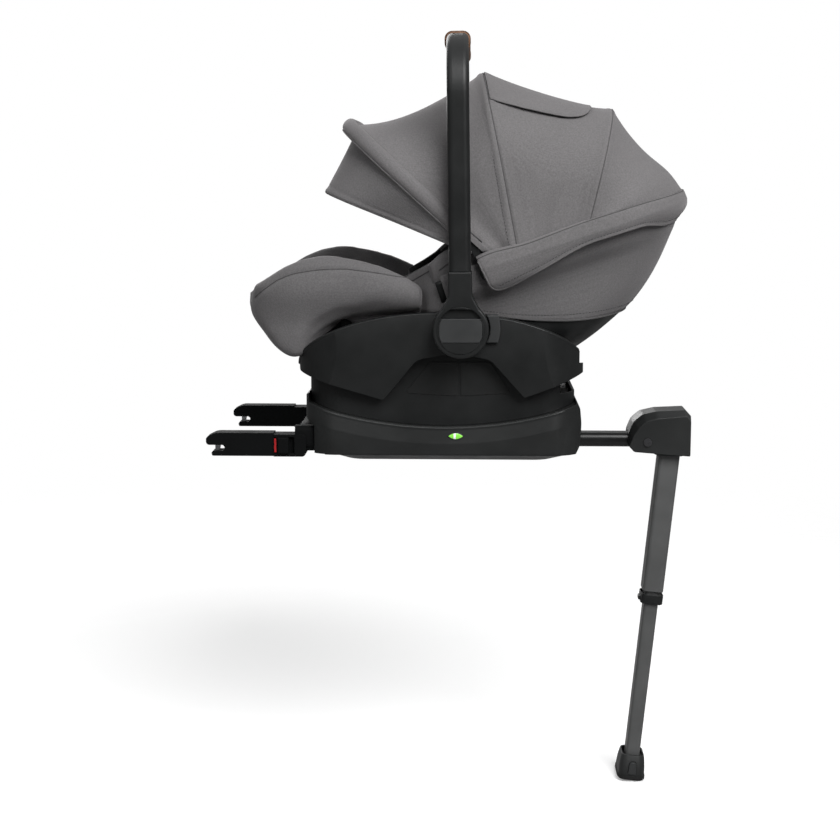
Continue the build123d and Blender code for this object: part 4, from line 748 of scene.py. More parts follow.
def hem_roll(front):
    """The stuffed roll along the canopy's front hem, the seam behind it and the cord along its lower edge."""
    line = arch(FRONT_BOW, grow=-HEM_IN)
    ups = unit(arch(FRONT_BOW) - line)
    line = line + HEM_SHIFT
    keep = slice(HEM_TRIM, len(line) - HEM_TRIM)
    piece = swept("canopy_hem", line[keep], ups[keep], ellipse(*HEM_SIZE, 20), "cloth")
    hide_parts("canopy_hem_roll")
    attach(piece, "canopy_front")
    seam, lift = row_at(front, seam_distance(front)[0], HEM_SEAM)
    cord("canopy_hem_seam", "canopy_front", seam[keep], lift[keep], HEM_SEAM_SIZE, "thread")
    low = line - unit(HEM_SHIFT) * HEM_SIZE[0] + ups * HEM_CORD_UP
    cord("canopy_hem_cord", "canopy_front", low[keep], ups[keep], HEM_CORD_SIZE, "cloth")


def bow_seams(front, mid):
    """Thread lines along the seams over the two rear bows, and a stitched row beside the front one."""
    normal = grid_normals(mid)
    for name, body, at in (("canopy_seam_mid", "canopy_mid", 0), ("canopy_seam_rear", "backrest", -1)):
        cord(name, body, mid[at] + normal[at] * BOW_SEAM_UP, normal[at], BOW_SEAM_SIZE, "piping")
    row, ups = row_at(front, seam_distance(front)[1], BOW_STITCH_AT)
    stitches("canopy_mid_stitching", "canopy_mid", row, ups)


FLAP_SHARES = (0.0, 0.2, 0.36, 0.52, 0.64, 0.72, 0.78, 0.82, 0.84)
FLAP_HALVES = (174, 164, 157, 152, 149, 145, 138, 126, 106)
FLAP_ROWS, FLAP_COLUMNS, FLAP_THICK = 40, 81, 1.9
FLAP_START, FLAP_LIFT, FLAP_EDGE_LIFT, FLAP_BULGE, FLAP_SPAN = 0.012, 2.1, 2.2, 5.0, 0.86


def vent_flap(mid, shares):
    """The flap over the vent, sewn along the bow's seam and loose along its edge."""
    normal = grid_normals(mid)
    places = FLAP_START + (FLAP_SHARES[-1] - FLAP_START) * np.sin(np.linspace(0, math.pi / 2, FLAP_ROWS))
    grid = np.zeros((FLAP_ROWS, FLAP_COLUMNS, 3))
    for i, v in enumerate(places):
        half = float(curve_values(FLAP_SHARES, FLAP_HALVES, v))
        k = int(np.clip(np.searchsorted(shares, v) - 1, 0, len(shares) - 2))
        t = (v - shares[k]) / (shares[k + 1] - shares[k])
        row = mid[k] * (1 - t) + mid[k + 1] * t
        lift = normal[k] * (1 - t) + normal[k + 1] * t
        steps = path_steps(row)
        for j, share in enumerate(np.linspace(-1, 1, FLAP_COLUMNS)):
            at = np.clip(steps[len(row) // 2] + half * share, 0, steps[-1])
            point = between(at, steps, row)
            nearest = int(np.argmin(np.linalg.norm(row - point, axis=1)))
            bulge = FLAP_BULGE * math.sin(math.pi * v / FLAP_SPAN) * (1 - 0.6 * abs(share))
            loose = FLAP_LIFT + FLAP_EDGE_LIFT * abs(share) ** 6 * ramp(v, 0.0, 0.25) + bulge
            grid[i, j] = point + lift[nearest] * loose
    piece, edge = sheet_piece("canopy_flap_cloth", "canopy_vent_flap", grid, FLAP_THICK, ["cloth", "lining"])
    declare_sheet(grid)
    stretch_between(piece)


# The bucket of the backrest, from its rim line

RIM_X, RIM_Z, RIM_SLOPE = 50.0, 300.0, math.radians(18)
RIM_COS, RIM_SIN = math.cos(RIM_SLOPE), math.sin(RIM_SLOPE)
BACK_LEVELS = (12, 38, 57, 128, 158, 176)
BACK_ENDS = (270, 262, 248, 176, 116, 66)
BACK_HALVES = (177, 168, 150, 140, 124, 104)
BACK_FRONT = -95
HEAD_ROUND = 0.72
ROUND_STEPS = (("side", 34), ("bend", 22), ("end", 16))


def rim_place(along, y, depth):
    x = RIM_X + along * RIM_COS + depth * RIM_SIN
    return np.array([x, y, RIM_Z + along * RIM_SIN - depth * RIM_COS])


def rim_along(spot):
    """How far along the rim line a point lies."""
    return (spot[0] - RIM_X) * RIM_COS + (spot[2] - RIM_Z) * RIM_SIN


def round_places():
    """Places round the bucket from the right front to the left front: stretch, share, side."""
    right = [(stretch, k / steps, -1) for stretch, steps in ROUND_STEPS for k in range(steps)]
    return right + [("end", 1.0, 1)] + [(stretch, share, 1) for stretch, share, _ in right[::-1]]


ROUND = round_places()


def bucket_place(place, depth, grow, start=BACK_FRONT):
    """A point of the bucket's outline at a depth below the rim, grown outward."""
    stretch, share, sign = place
    half = max(float(curve_values(BACK_LEVELS, BACK_HALVES, depth)) + grow, 0.5)
    end = float(curve_values(BACK_LEVELS, BACK_ENDS, depth)) + grow
    r = HEAD_ROUND * half
    if stretch == "side":
        return rim_place(start + (end - r - start) * share, sign * half, depth)
    if stretch == "bend":
        angle = share * math.pi / 2
        return rim_place(end - r + r * math.sin(angle), sign * (half - r + r * math.cos(angle)), depth)
    return rim_place(end, sign * (half - r) * (1 - share), depth)


def bucket_grid(rows):
    """Points round the bucket: each row gives depth, growth and front end, one number or one for each place."""
    grid = np.zeros((len(rows), len(ROUND), 3))
    for i, row in enumerate(rows):
        values = zip(*(np.broadcast_to(value, len(ROUND)) for value in row))
        for j, (place, (depth, grow, start)) in enumerate(zip(ROUND, values)):
            grid[i, j] = bucket_place(place, depth, grow, start)
    return grid


HOOD_COLUMNS, HOOD_ROWS, HOOD_GROW, HOOD_FRONT = 121, 44, 14.5, 144
HOOD_SAG, HOOD_FULL, HOOD_RIPPLE = 0.05, 4.5, 1.4


def rear_hood():
    """The canopy's rear panel, from the rear bow down to the skirt round the head end."""
    bow = resampled(arch(REAR_BOW, drop=REAR_DROP), HOOD_COLUMNS)
    depths = [-2 - float(ramp(bucket_place(p, 0, HOOD_GROW, HOOD_FRONT)[0], 200, 320)) for p in ROUND]
    rim = [bucket_place(p, d, HOOD_GROW, HOOD_FRONT) for p, d in zip(ROUND, depths)]
    rim = resampled(rim, HOOD_COLUMNS)
    table = close_shares(HOOD_ROWS)[:, None]
    grid = bow[None] * (1 - table[..., None]) + rim[None] * table[..., None]
    span = np.linalg.norm(rim - bow, axis=1)[None]
    middle = np.linspace(-1, 1, HOOD_COLUMNS)[None]
    push = ridges(grid, REAR_RIDGES) + HOOD_FULL * hump(table, 0.8, 0.2)
    push -= span * HOOD_SAG * np.sin(math.pi * table) * (1.1 - table)
    push += HOOD_RIPPLE * np.sin(middle * 15) * np.sin(math.pi * table) ** 2 * (1 - np.abs(middle)) * table
    grid = pushed(grid, push)
    piece, _ = sheet_piece("canopy_rear_cloth", "canopy_rear_panel", grid, PANEL_THICK, ["cloth", "lining"])
    declare_sheet(grid)
    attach(piece, "backrest")


BAND_X = (45, 100, 185, 250, 300, 420)
BAND_LOW = (48.5, 38, 23, 24, 36, 42)
BAND_TOP_X = (25, 50, 100, 150, 185, 250, 320)
BAND_TOP = (-7, -10, -6, -8, -9, -8, -4)
BAND_SHARES = np.concatenate([[0.0, 0.03, 0.07], np.linspace(0.12, 0.88, 18), [0.93, 0.965, 0.985, 1.0]])
BAND_OUT, BAND_PUFF, BAND_TOP_IN, BAND_THICK = 18.6, 1.9, 6.0, 3.0
BAND_GROOVE_AT, BAND_GROOVE, BAND_GROOVE_WIDE = 0.87, 0.9, 0.035
BAND_FRONT_X, BAND_FRONT_LEAN, BAND_FRONT_HIGH = 22, 23, 55
BAND_TUCK, BAND_CORNER = 15.0, 12.0
BAND_PIPING, BAND_PIPING_IN, BAND_PIPING_STEPS = (1.7, 1.7), 1.2, 420


def band():
    """The padded skirt round the canopy's lower edge, with a bound front corner."""
    rim_x = np.array([bucket_place(p, 12, 18, BACK_FRONT + 70)[0] for p in ROUND])
    low = curve_values(BAND_X, BAND_LOW, rim_x)
    top_edge = curve_values(BAND_TOP_X, BAND_TOP, rim_x)
    at_head = ramp(rim_x, 235, 330)
    rows = []
    for share in BAND_SHARES:
        depth = top_edge + (low - top_edge) * share
        puff = BAND_PUFF * math.sin(math.pi * share) ** 0.8 - BAND_TOP_IN * (1 - float(ramp(share, 0.0, 0.09)))
        grow = BAND_OUT + puff - BAND_GROOVE * float(hump(share, BAND_GROOVE_AT, BAND_GROOVE_WIDE))
        front_x = BAND_FRONT_X + BAND_FRONT_LEAN * np.clip((5 + depth / RIM_COS) / BAND_FRONT_HIGH, -0.2, 1)
        left = np.clip(low - depth, 0, BAND_CORNER)
        cut = BAND_CORNER - np.sqrt(BAND_CORNER**2 - (BAND_CORNER - left) ** 2)
        tuck = BAND_TUCK * at_head * float(ramp(share, 0.45, 1.1)) ** 1.5
        rows.append((depth, grow - tuck, (front_x + cut - RIM_X - depth * RIM_SIN) / RIM_COS))
    grid = bucket_grid(rows)
    piece, _ = sheet_piece("canopy_skirt", "canopy_band", grid, BAND_THICK, ["cloth", "cloth_dark"])
    normal = grid_normals(grid)
    edge, ups = (np.concatenate([g[3:, 0], g[-1, 1:-1], g[:2:-1, -1]]) for g in (grid, normal))
    lift = between(np.linspace(0, 1, BAND_PIPING_STEPS), np.linspace(0, 1, len(ups)), ups)
    line = smoothed(resampled(edge, BAND_PIPING_STEPS), 4) - lift * BAND_PIPING_IN
    piping = cord("canopy_skirt_piping", "backrest", line, lift, BAND_PIPING, "cloth", 10)
    at = int(np.argmin(np.abs(BAND_SHARES - BAND_GROOVE_AT)))
    row, ups = grid[at, 2:-2], normal[at, 2:-2]
    stitches("canopy_skirt_stitching", "backrest", row + ups * 0.1, ups)
    cord("canopy_skirt_seam", "backrest", grid[2] + normal[2] * 0.1, normal[2], (0.8, 0.6), "piping")
    declare_sheet(grid)
    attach(piece, "backrest")


PIPING_LOW, PIPING_RISE, PIPING_MID_X, PIPING_HALF = 204.0, 28.0, 125.0, 180.0
COVER_GROW, COVER_PUFF, COVER_TOP, COVER_THICK = 2.6, 1.6, 4, 2.2
COVER_ROWS, COVER_FRONT = 34, BACK_FRONT + 10


def piping_depth(place, grow):
    """Depth at which a place of the bucket meets the cover's piped lower edge, an arc in side view."""
    low, high = 20.0, 170.0
    for _ in range(24):
        depth = (low + high) / 2
        x, _, z = bucket_place(place, depth, grow)
        if z > PIPING_LOW + PIPING_RISE * ((x - PIPING_MID_X) / PIPING_HALF) ** 2:
            low = depth
        else:
            high = depth
    return (low + high) / 2


def back_cover():
    """The outer cover over the upper bucket, down to its piping."""
    bottom = np.array([piping_depth(p, COVER_GROW) for p in ROUND])
    grid = bucket_grid([
        (COVER_TOP + (bottom - COVER_TOP) * share, COVER_GROW + COVER_PUFF * math.sin(math.pi * share), COVER_FRONT)
        for share in np.linspace(0, 1, COVER_ROWS)
    ])
    piece, _ = sheet_piece("back_cover_cloth", "back_cover", grid, COVER_THICK, ["cloth_dark", "lining"])
    normal = grid_normals(grid)
    line = grid[-1] - normal[-1] * 0.3
    piping = cord("back_cover_piping", "backrest", line, normal[-1], (1.7, 1.7), "piping", 10)
    stitches("back_cover_stitching", "backrest", smoothed(grid[-3], 2) + normal[-3] * 0.1, normal[-3])
    declare_sheet(grid)
    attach(piece, "backrest")


BUCKET_FOOT = ((170, 0.4), (173, 1.8), (175, 5), *((176, inset) for inset in (11, 24, 42, 62, 84, 103.5)))
BUCKET_WALL = 4.5


def back_bucket():
    """The moulded bucket of the backrest, smooth from its rim to its floor."""
    rows = [(depth, 0.0, BACK_FRONT) for depth in np.linspace(12, 166, 40)]
    rows += [(depth, -inset, BACK_FRONT) for depth, inset in BUCKET_FOOT]
    grid = bucket_grid(rows)
    piece = grid_piece("back_bucket", grid, "shell", flip=True)
    thicken(piece, BUCKET_WALL)
    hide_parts("back_shell")
    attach(piece, "backrest")


# The liner, its wings and its floor

LYING_X, LYING_Z, LYING_SLOPE = 25.0, 130.0, math.radians(26)
LINER_FRONT, LINER_TOP, LINER_MIDDLE, LINER_FOAM, LINER_FILL = -98.0, -7.0, -16, 2.5, 0.6
WING_X = (-60, -40, -18, 6, 60, 130, 200, 330)
WING_RISE = (4, 9, 19, 23, 16, 4, 0, 0)
# Rows of the liner with their growth: outside by depth, over the roll by drop, down the wall by share.
LINER_OUTSIDE = ((90.0, -6.8), (50.0, -6.4), (18.0, -6.2))
LINER_ROLL = (
    (18, -6.0), (11, -6.0), (6, -6.8), (2.5, -8.6), (0.6, -11.2), (0, -14.5), (0.6, -18), (2.6, -21.4),
    (6, -24.4), (11, -26.8), (18, -28.6), (28, -29.8),
)
LINER_WALL = ((0.3, -30.8), (0.5, -31), (0.7, -30.6), (0.84, -30.2), (0.92, -31.5))
LINER_INSETS = (5, 11, 19, 29, 40, 52, 64, 76, 87, 96, 102, 108)
WING_SEAMS = (("wing_seam", 3), ("wing_inner_seam", 11))
BACK_UP, BACK_IN, BACK_EDGE, BACK_FADE, BACK_WAVE, BACK_WAVE_LONG = 4, 32, 4.5, 7.0, 1.2, 34


def floor_depth(along):
    """Depth of the lying plane, or of the flat before it, at a place along the rim line."""
    slope = math.tan(LYING_SLOPE)
    drop = RIM_Z - LYING_Z
    plane = (drop - (RIM_X - LYING_X) * slope + along * (RIM_SIN - RIM_COS * slope)) / (RIM_COS + RIM_SIN * slope)
    return min(plane, (drop + along * RIM_SIN) / RIM_COS)


def wall_spot(place, depth, grow):
    """A point of the liner's wall, which closes to a rounded end at the front."""
    along = rim_along(bucket_place(place, depth, grow, LINER_FRONT))
    front = float(ramp(along, LINER_FRONT - 1, LINER_FRONT + 16) ** 0.5)
    return bucket_place(place, depth, LINER_MIDDLE + (grow - LINER_MIDDLE) * front, LINER_FRONT)


def floor_spot(place, depth, inset):
    """A point of the padded floor that the child lies on."""
    spot = bucket_place(place, depth - BACK_UP, -BACK_IN - inset)
    along = rim_along(spot)
    lift = BACK_EDGE * math.exp(-inset / BACK_FADE) + BACK_WAVE * math.cos(spot[1] / BACK_WAVE_LONG)
    return rim_place(along, spot[1], floor_depth(along) - lift)


def liner():
    """The padded lining of the bucket: rolled wings, inner walls and the back that the child lies on."""
    columns = len(ROUND)
    rise = [float(curve_values(WING_X, WING_RISE, bucket_place(p, 0, -10)[0])) for p in ROUND]
    top = LINER_TOP - np.array(rise)
    deep = np.array([floor_depth(rim_along(bucket_place(p, 100, -29))) for p in ROUND])
    foot = top + LINER_ROLL[-1][0]
    rows = [(np.full(columns, depth), grow) for depth, grow in LINER_OUTSIDE]
    rows += [(top + drop, grow) for drop, grow in LINER_ROLL]
    rows += [(foot + (deep - foot) * share, grow) for share, grow in LINER_WALL]
    grid = [[wall_spot(p, d, grow) for p, d in zip(ROUND, depth)] for depth, grow in rows]
    grid += [[floor_spot(p, d, inset) for p, d in zip(ROUND, deep)] for inset in LINER_INSETS]
    grid = np.array(grid)
    piece = grid_piece("back_lining", grid, ["cloth_dark", "lining"])
    # The inner rows take the dark lining: partly painted shade for the shaded inside of the wings.
    second_paint(piece, (columns - 1) * WING_SEAMS[1][1])
    thicken(piece, LINER_FOAM)
    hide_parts("back_liner")
    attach(piece, "backrest")
    normal = -grid_normals(grid)
    for name, at in WING_SEAMS:
        row, ups = grid[at, 2:-2], normal[at, 2:-2]
        cord(name, "backrest", row + ups * 0.2, ups, (1.1, 0.8), "piping")


TIP_LINE = (
    (-6, 167, 299), (-30, 164.5, 298), (-40, 161, 292.5), (-48, 152, 287.5), (-56, 139, 282.5),
    (-64, 128, 277.5), (-74, 121, 271.5), (-86, 117, 264),
)
TIP_LOW, TIP_SEAM, TIP_ROWS, TIP_FOAM = 215.0, 13.0, 10, 2.0
TIP_ROLL = ((0.4, -2.2), (1.6, -0.8), (3.4, 0), (5.6, -0.4), (7.2, -1.8), (8.2, -4.5), (8.4, -14))


def wing_tips():
    """The front ends of the liner's wings, which wrap in behind the leg rest."""
    for sign, label in SIDES:
        top = smoothed(resampled([(x, sign * y, z) for x, y, z in TIP_LINE], 40), 4)
        inward = unit(np.cross(np.gradient(top, axis=0) * (1, 1, 0), (0, 0, 1))) * -sign
        rows = []
        for share in np.linspace(0, 1, TIP_ROWS):
            row = top.copy()
            row[:, 2] = TIP_LOW + (top[:, 2] - 5 - TIP_LOW) * share
            rows.append(row)
        rows += [top + inward * inset + (0, 0, drop) for inset, drop in TIP_ROLL]
        piece = grid_piece(f"wing_tip_{label}", np.array(rows), ["cloth_dark", "lining"], sign < 0)
        second_paint(piece, (len(top) - 1) * TIP_ROWS)
        thicken(piece, TIP_FOAM)
        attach(piece, "backrest")
        line = top - inward * 0.2 - (0, 0, TIP_SEAM)
        cord(f"wing_tip_seam_{label}", "backrest", line, -inward, (1.0, 0.8), "piping")


# Padded pieces, swollen by a cloth simulation

CLOTH_SETTINGS = {
    "quality": 4, "use_pressure": True, "uniform_pressure_force": 4.0,
    "tension_stiffness": 12, "compression_stiffness": 12, "bending_stiffness": 0.8,
}
SWELL_FRAMES = 20
# The small pads: piece, node, paint, then voxel, shrink, cap and rounds of easing, fill and body.
PADS = (
    ("head_pad", "headrest", "cloth_dark", (4.0, 2.5, 4.0, 10), 0.7, "headrest"),
    ("seat_cushion", "seat_pad", "lining", (5.0, 3.0, 4.5, 6), 0.55, "carrier"),
    ("strap_pads", "shoulder_pads", "cloth_dark", (2.2, 1.2, 1.6, 6), 0.5, "backrest"),
)


def copied_mesh(name, node, paint):
    """A piece with a copy of a node's mesh, which takes the node's place."""
    mesh = nodes[node].data.copy()
    mesh.name = name
    piece = linked(name, mesh)
    mesh.materials.clear()
    mesh.materials.append(paints[paint])
    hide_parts(node)
    return piece


def apply_modifiers(piece):
    """Makes the mesh with its modifiers the piece's own mesh."""
    graph = bpy.context.evaluated_depsgraph_get()
    mesh = bpy.data.meshes.new_from_object(piece.evaluated_get(graph))
    piece.modifiers.clear()
    piece.data = mesh


def mesh_points(mesh, key="co"):
    points = np.zeros(len(mesh.vertices) * 3)
    mesh.vertices.foreach_get(key, points)
    return points.reshape(-1, 3)


def set_points(mesh, points):
    mesh.vertices.foreach_set("co", np.asarray(points, np.float32).ravel())
    mesh.update()


def relax(mesh, rounds, share=0.5):
    """Moves each point towards the mean of its neighbours."""
    edges = np.zeros(len(mesh.edges) * 2, np.int32)
    mesh.edges.foreach_get("vertices", edges)
    edges = edges.reshape(-1, 2)
    points = mesh_points(mesh)
    degree = np.bincount(edges.ravel(), minlength=len(points)).astype(float)
    for _ in range(rounds):
        total = np.zeros_like(points)
        np.add.at(total, edges[:, 0], points[edges[:, 1]])
        np.add.at(total, edges[:, 1], points[edges[:, 0]])
        points += share * (total / np.maximum(degree, 1)[:, None] - points)
    set_points(mesh, points)


def blown_points(piece):
    """Where a piece's points are after it is blown up as cloth."""
    cloth = piece.modifiers.new("cloth", "CLOTH")
    for key, value in CLOTH_SETTINGS.items():
        setattr(cloth.settings, key, value)
    cloth.settings.effector_weights.gravity = 0
    cloth.point_cache.frame_start, cloth.point_cache.frame_end = 1, SWELL_FRAMES
    for step in range(1, SWELL_FRAMES + 1):
        bpy.context.scene.frame_set(step)
    graph = bpy.context.evaluated_depsgraph_get()
    points = mesh_points(piece.evaluated_get(graph).data)
    piece.modifiers.clear()
    bpy.context.scene.frame_set(1)
    return points


def swell(piece, voxel, shrink, cap, rounds):
    """Turns a solid's copy into a stuffed form: remeshed, eased, drawn in and blown up a little."""
    remesh = piece.modifiers.new("remesh", "REMESH")
    remesh.mode, remesh.voxel_size = "VOXEL", voxel * MM
    apply_modifiers(piece)
    mesh = piece.data
    relax(mesh, rounds)
    set_points(mesh, mesh_points(mesh) - mesh_points(mesh, "normal") * shrink * MM)
    rest = mesh_points(mesh)
    moved = blown_points(piece) - rest
    length = np.linalg.norm(moved, axis=1, keepdims=True)
    set_points(mesh, rest + moved * np.minimum(1, cap * MM / np.maximum(length, TINY)))
    relax(mesh, 2, 0.4)
    finer = piece.modifiers.new("finer", "SUBSURF")
    finer.levels = finer.render_levels = 1
    apply_modifiers(piece)
    piece.data.shade_smooth()


def mesh_tree(piece):
    mesh = piece.data
    mesh.calc_loop_triangles()
    corners = [tuple(t.vertices) for t in mesh.loop_triangles]
    return BVHTree.FromPolygons([v.co.copy() for v in mesh.vertices], corners)


def press_groove(piece, lines, depth, width):
    """Draws a piece in along lines on its surface, as sewing does."""
    points = mesh_points(piece.data) / MM
    push = np.zeros(len(points))
    for line in lines:
        for spot in resampled(line, max(8, int(path_length(line) / 1.5))):
            push = np.maximum(push, np.exp(-np.sum((points - spot) ** 2, axis=1) / width**2))
    set_points(piece.data, (points - mesh_points(piece.data, "normal") * (push * depth)[:, None]) * MM)


LEGREST_SEAM = (
    (-299, 236), (-291, 243), (-283, 249), (-263, 263), (-243, 271.5), (-221.5, 276), (-200, 278.8),
    (-165, 280), (-122, 274.7), (-77, 266.3), (-48, 259),
)
LEGREST_SWELL, LEGREST_FILL = (5.0, 2.0, 4.5, 8), 0.75
REAR_IN, NOSE_IN, NOSE_UP, FRONT_DOWN, FRONT_OUT = 14, 4.5, 10, 18, 4
CREST_UP, CREST_FRONT_UP, SIDE_TUCK = 2, 4, 0.12
GROOVE_DEPTH, GROOVE_WIDE = 1.8, 3.2
RAY_FROM, RAY_SHALLOW = 400, 60


def side_line(tree, side, outline, count):
    """A line drawn on a piece's side in X, Z, laid on its surface, with the surface's normals."""
    spots, ups = [], []
    for x, _, z in smoothed(resampled([(x, 0, z) for x, z in outline], count), 3):
        hit, normal, _, _ = tree.ray_cast(Vector((x, side * RAY_FROM, z)) * MM, Vector((0, -side, 0)))
        if hit and abs(hit.y) / MM > RAY_SHALLOW:
            spots.append(np.array(hit) / MM)
            ups.append(np.array(normal))
    return np.array(spots), np.array(ups)


def draw_in(piece):
    """Shortens the leg rest's two ends, fills its lower front and tucks its lower sides in."""
    x, y, z = (mesh_points(piece.data) / MM).T
    low_front = ramp(-x, 180, 260) * ramp(250 - z, 0, 70)
    x = x - REAR_IN * ramp(x, -150, -39) + NOSE_IN * ramp(-x, 250, 320) * ramp(z, 200, 240)
    z = z - FRONT_DOWN * low_front
    x = x - FRONT_OUT * low_front
    z = z + (CREST_UP + CREST_FRONT_UP * ramp(-x, 100, 200)) * ramp(z, 250, 280)
    z = z + NOSE_UP * hump(x, -304, 24) * ramp(z, 228, 246)
    y = y * (1 - SIDE_TUCK * ramp(262 - z, 0, 70))
    set_points(piece.data, np.stack([x, y, z], axis=1) * MM)


def leg_rest():
    """The padded leg rest, with a sewn line along each side."""
    piece = copied_mesh("leg_rest_pad", "legrest", "cloth_dark")
    swell(piece, *LEGREST_SWELL)
    draw_in(piece)
    relax(piece.data, 4)
    tree = mesh_tree(piece)
    press_groove(piece, [side_line(tree, side, LEGREST_SEAM, 90)[0] for side, _ in SIDES], GROOVE_DEPTH, GROOVE_WIDE)
    tree = mesh_tree(piece)
    for side, label in SIDES:
        line, ups = side_line(tree, side, LEGREST_SEAM, 120)
        cord(f"leg_rest_seam_{label}", "legrest", smoothed(line, 3), ups, (0.9, 0.75), "piping")
    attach(piece, "legrest")


def small_pads():
    for name, node, paint, sizes, fill, body in PADS:
        piece = copied_mesh(name, node, paint)
        swell(piece, *sizes)
        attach(piece, body)


# Harness

STRAP_HALF, STRAP_THICK, STRAP_Y, STRAP_STEPS = 12.5, 2.4, 38.0, 40
STRAP_SPOTS = ((79, 1.0), (50, 0.8), (16, 0.6), (6, 2.0), (2, 4.3))
CROTCH_THICK, CROTCH_STEPS = 2.8, 16


def ribbon(name, line, ups, thick):
    """A webbing strap with thicker selvedges, along a line on its lower face."""
    right = [(0.0, 0.3), (0.0, thick - 0.3), (0.8, thick), (2.6, thick), (3.2, thick - 0.5)]
    outline = [(-STRAP_HALF, 0.3), (-STRAP_HALF + 0.8, 0), (STRAP_HALF - 0.8, 0)]
    outline += [(STRAP_HALF - inset, up) for inset, up in right] + [(0, thick - 0.45)]
    outline += [(-STRAP_HALF + inset, up) for inset, up in right[:0:-1]]
    return swept(name, line, ups, outline, "webbing")


def lay_strap(strap, body):
    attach(strap, body)


def straps():
    """The two shoulder straps and the crotch strap, as far as they show."""
    sin, cos = math.sin(LYING_SLOPE), math.cos(LYING_SLOPE)
    for side, label in SIDES:
        spots = [(LYING_X + d * cos - h * sin, side * STRAP_Y, LYING_Z + d * sin + h * cos) for d, h in STRAP_SPOTS]
        line = resampled(spots, STRAP_STEPS)
        ups = np.tile((-sin, 0, cos), (STRAP_STEPS, 1))
        strap = ribbon(f"shoulder_strap_{label}", smoothed(line, 3), ups, STRAP_THICK)
        lay_strap(strap, "backrest")
        if side < 0:
            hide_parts("shoulder_straps")
    low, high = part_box("crotch_strap")
    middle = (low + high) / 2 / MM
    heights = np.linspace(low.z / MM, high.z / MM, CROTCH_STEPS)
    line = np.array([(middle.x + CROTCH_THICK / 2, 0, z) for z in heights])
    crotch = ribbon("crotch_webbing", line, np.tile((-1.0, 0, 0), (CROTCH_STEPS, 1)), CROTCH_THICK)
    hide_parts("crotch_strap")
    lay_strap(crotch, "carrier")


# Handle grip

HANDLE_MID_Y, HANDLE_MID_Z, HANDLE_CORNER, HUB_Z = 210.0, 598.0, 72.0, 197.0
HANDLE_LEAN = math.radians(0.9)
GRIP_WRAP, GRIP_BEND, GRIP_STEPS = math.radians(4), 18, 42
GRIP_WIDE, GRIP_HIGH, GRIP_ROUND = 36.0, 27.0, 10.5
GRIP_GIRTH, GRIP_HIDE, GRIP_RING = 0.108, 1.1, 0.45


def rounded_outline(wide, high, radius, per_corner=7):
    outline = []
    for cx, cy, start in ((1, 1, 0), (-1, 1, 90), (-1, -1, 180), (1, -1, 270)):
        for k in range(per_corner):
            angle = math.radians(start + 90 * k / (per_corner - 1))
            x, y = radius * math.cos(angle), radius * math.sin(angle)
            outline.append((cx * (wide / 2 - radius) + x, cy * (high / 2 - radius) + y))
    return outline


def leaned(points, middle):
    """Tips points of the handle about its pivot, as it stands when locked."""
    x, y, z = np.asarray(points, float).T
    sin, cos = math.sin(HANDLE_LEAN), math.cos(HANDLE_LEAN)
    return np.stack([x * cos - (z - middle) * sin, y, middle + (z - middle) * cos + x * sin], axis=1)


def grip_line():
    """The line along the wrapped part of the handle's bow, with its ups."""
    centre_y, centre_z = HANDLE_MID_Y - HANDLE_CORNER, HANDLE_MID_Z - HANDLE_CORNER
    line, ups = [], []
    for k in range(GRIP_BEND + 1):
        angle = math.pi / 2 - GRIP_WRAP * (1 - k / GRIP_BEND)
        line.append((0, -centre_y - HANDLE_CORNER * math.cos(angle), centre_z + HANDLE_CORNER * math.sin(angle)))
        ups.append((0, -math.cos(angle), math.sin(angle)))
    for y in np.linspace(-centre_y, centre_y, GRIP_STEPS)[1:-1]:
        line.append((0, y, HANDLE_MID_Z))
        ups.append((0, 0, 1))
    for points in (line, ups):
        points += [(0, -y, z) for _, y, z in points[GRIP_BEND::-1]]
    return leaned(line, HUB_Z), leaned(ups, 0.0)


def grip():
    """The leather sleeve on the handle's cross bar, sewn along its underside."""
    line, ups = grip_line()
    piece = swept(
        "grip_leather", line, ups, rounded_outline(GRIP_WIDE, GRIP_HIGH, GRIP_ROUND), "leather", capped=False
    )
    thicken(piece, GRIP_HIDE)
    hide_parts("handle_grip")
    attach(piece, "handle")
    for label, shift in (("a", -3.2), ("b", 3.2)):
        row = line - ups * (GRIP_HIGH / 2 + 0.1) + np.array([shift, 0, 0])
        stitches(f"grip_stitching_{label}", "handle", row, -ups, pitch=5.5, length=3.8, width=0.9)
    cord("grip_seam", "handle", line - ups * (GRIP_HIGH / 2 + 0.05), -ups, (0.8, 0.6), "piping")
    outline = rounded_outline(GRIP_WIDE + 0.9, GRIP_HIGH + 0.9, GRIP_ROUND + 0.4)
    for label, at, inner in (("right", 0, 1), ("left", -1, -2)):
        ring_line = np.array([line[at], line[at] + (line[inner] - line[at]) * GRIP_RING])
        ring = swept(f"grip_end_{label}", ring_line, np.array([ups[at], ups[at]]), outline, "leather")
        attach(ring, "handle")


# Moulded trim of the anchor arms, the leg, the side covers and the base

SLEEVE_X, SLEEVE_Y, SLEEVE_Z, SLEEVE_STEPS = (-241.0, -212.0), 140.0, 34.0, 12
SLEEVE_SIZE = (24.0, 33.0, 7.0)
LEG_DOWN = np.array([-0.096888, 0, -0.995295])
COLLAR_SHARE = 0.55
COLLAR_PARTS = (("leg_collar", "leg_upper", "shell"), ("leg_button", "leg_button", "trim_grey"))


def anchor_sleeves():
    """The moulded collar round each anchor arm, where it goes into the base."""
    for sign, label in SIDES:
        line = [(x, sign * SLEEVE_Y, SLEEVE_Z) for x in np.linspace(*SLEEVE_X, SLEEVE_STEPS)]
        ups = np.tile((0.0, 0.0, 1.0), (SLEEVE_STEPS, 1))
        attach(swept(f"anchor_sleeve_{label}", line, ups, rounded_outline(*SLEEVE_SIZE), "latch"), "anchors")


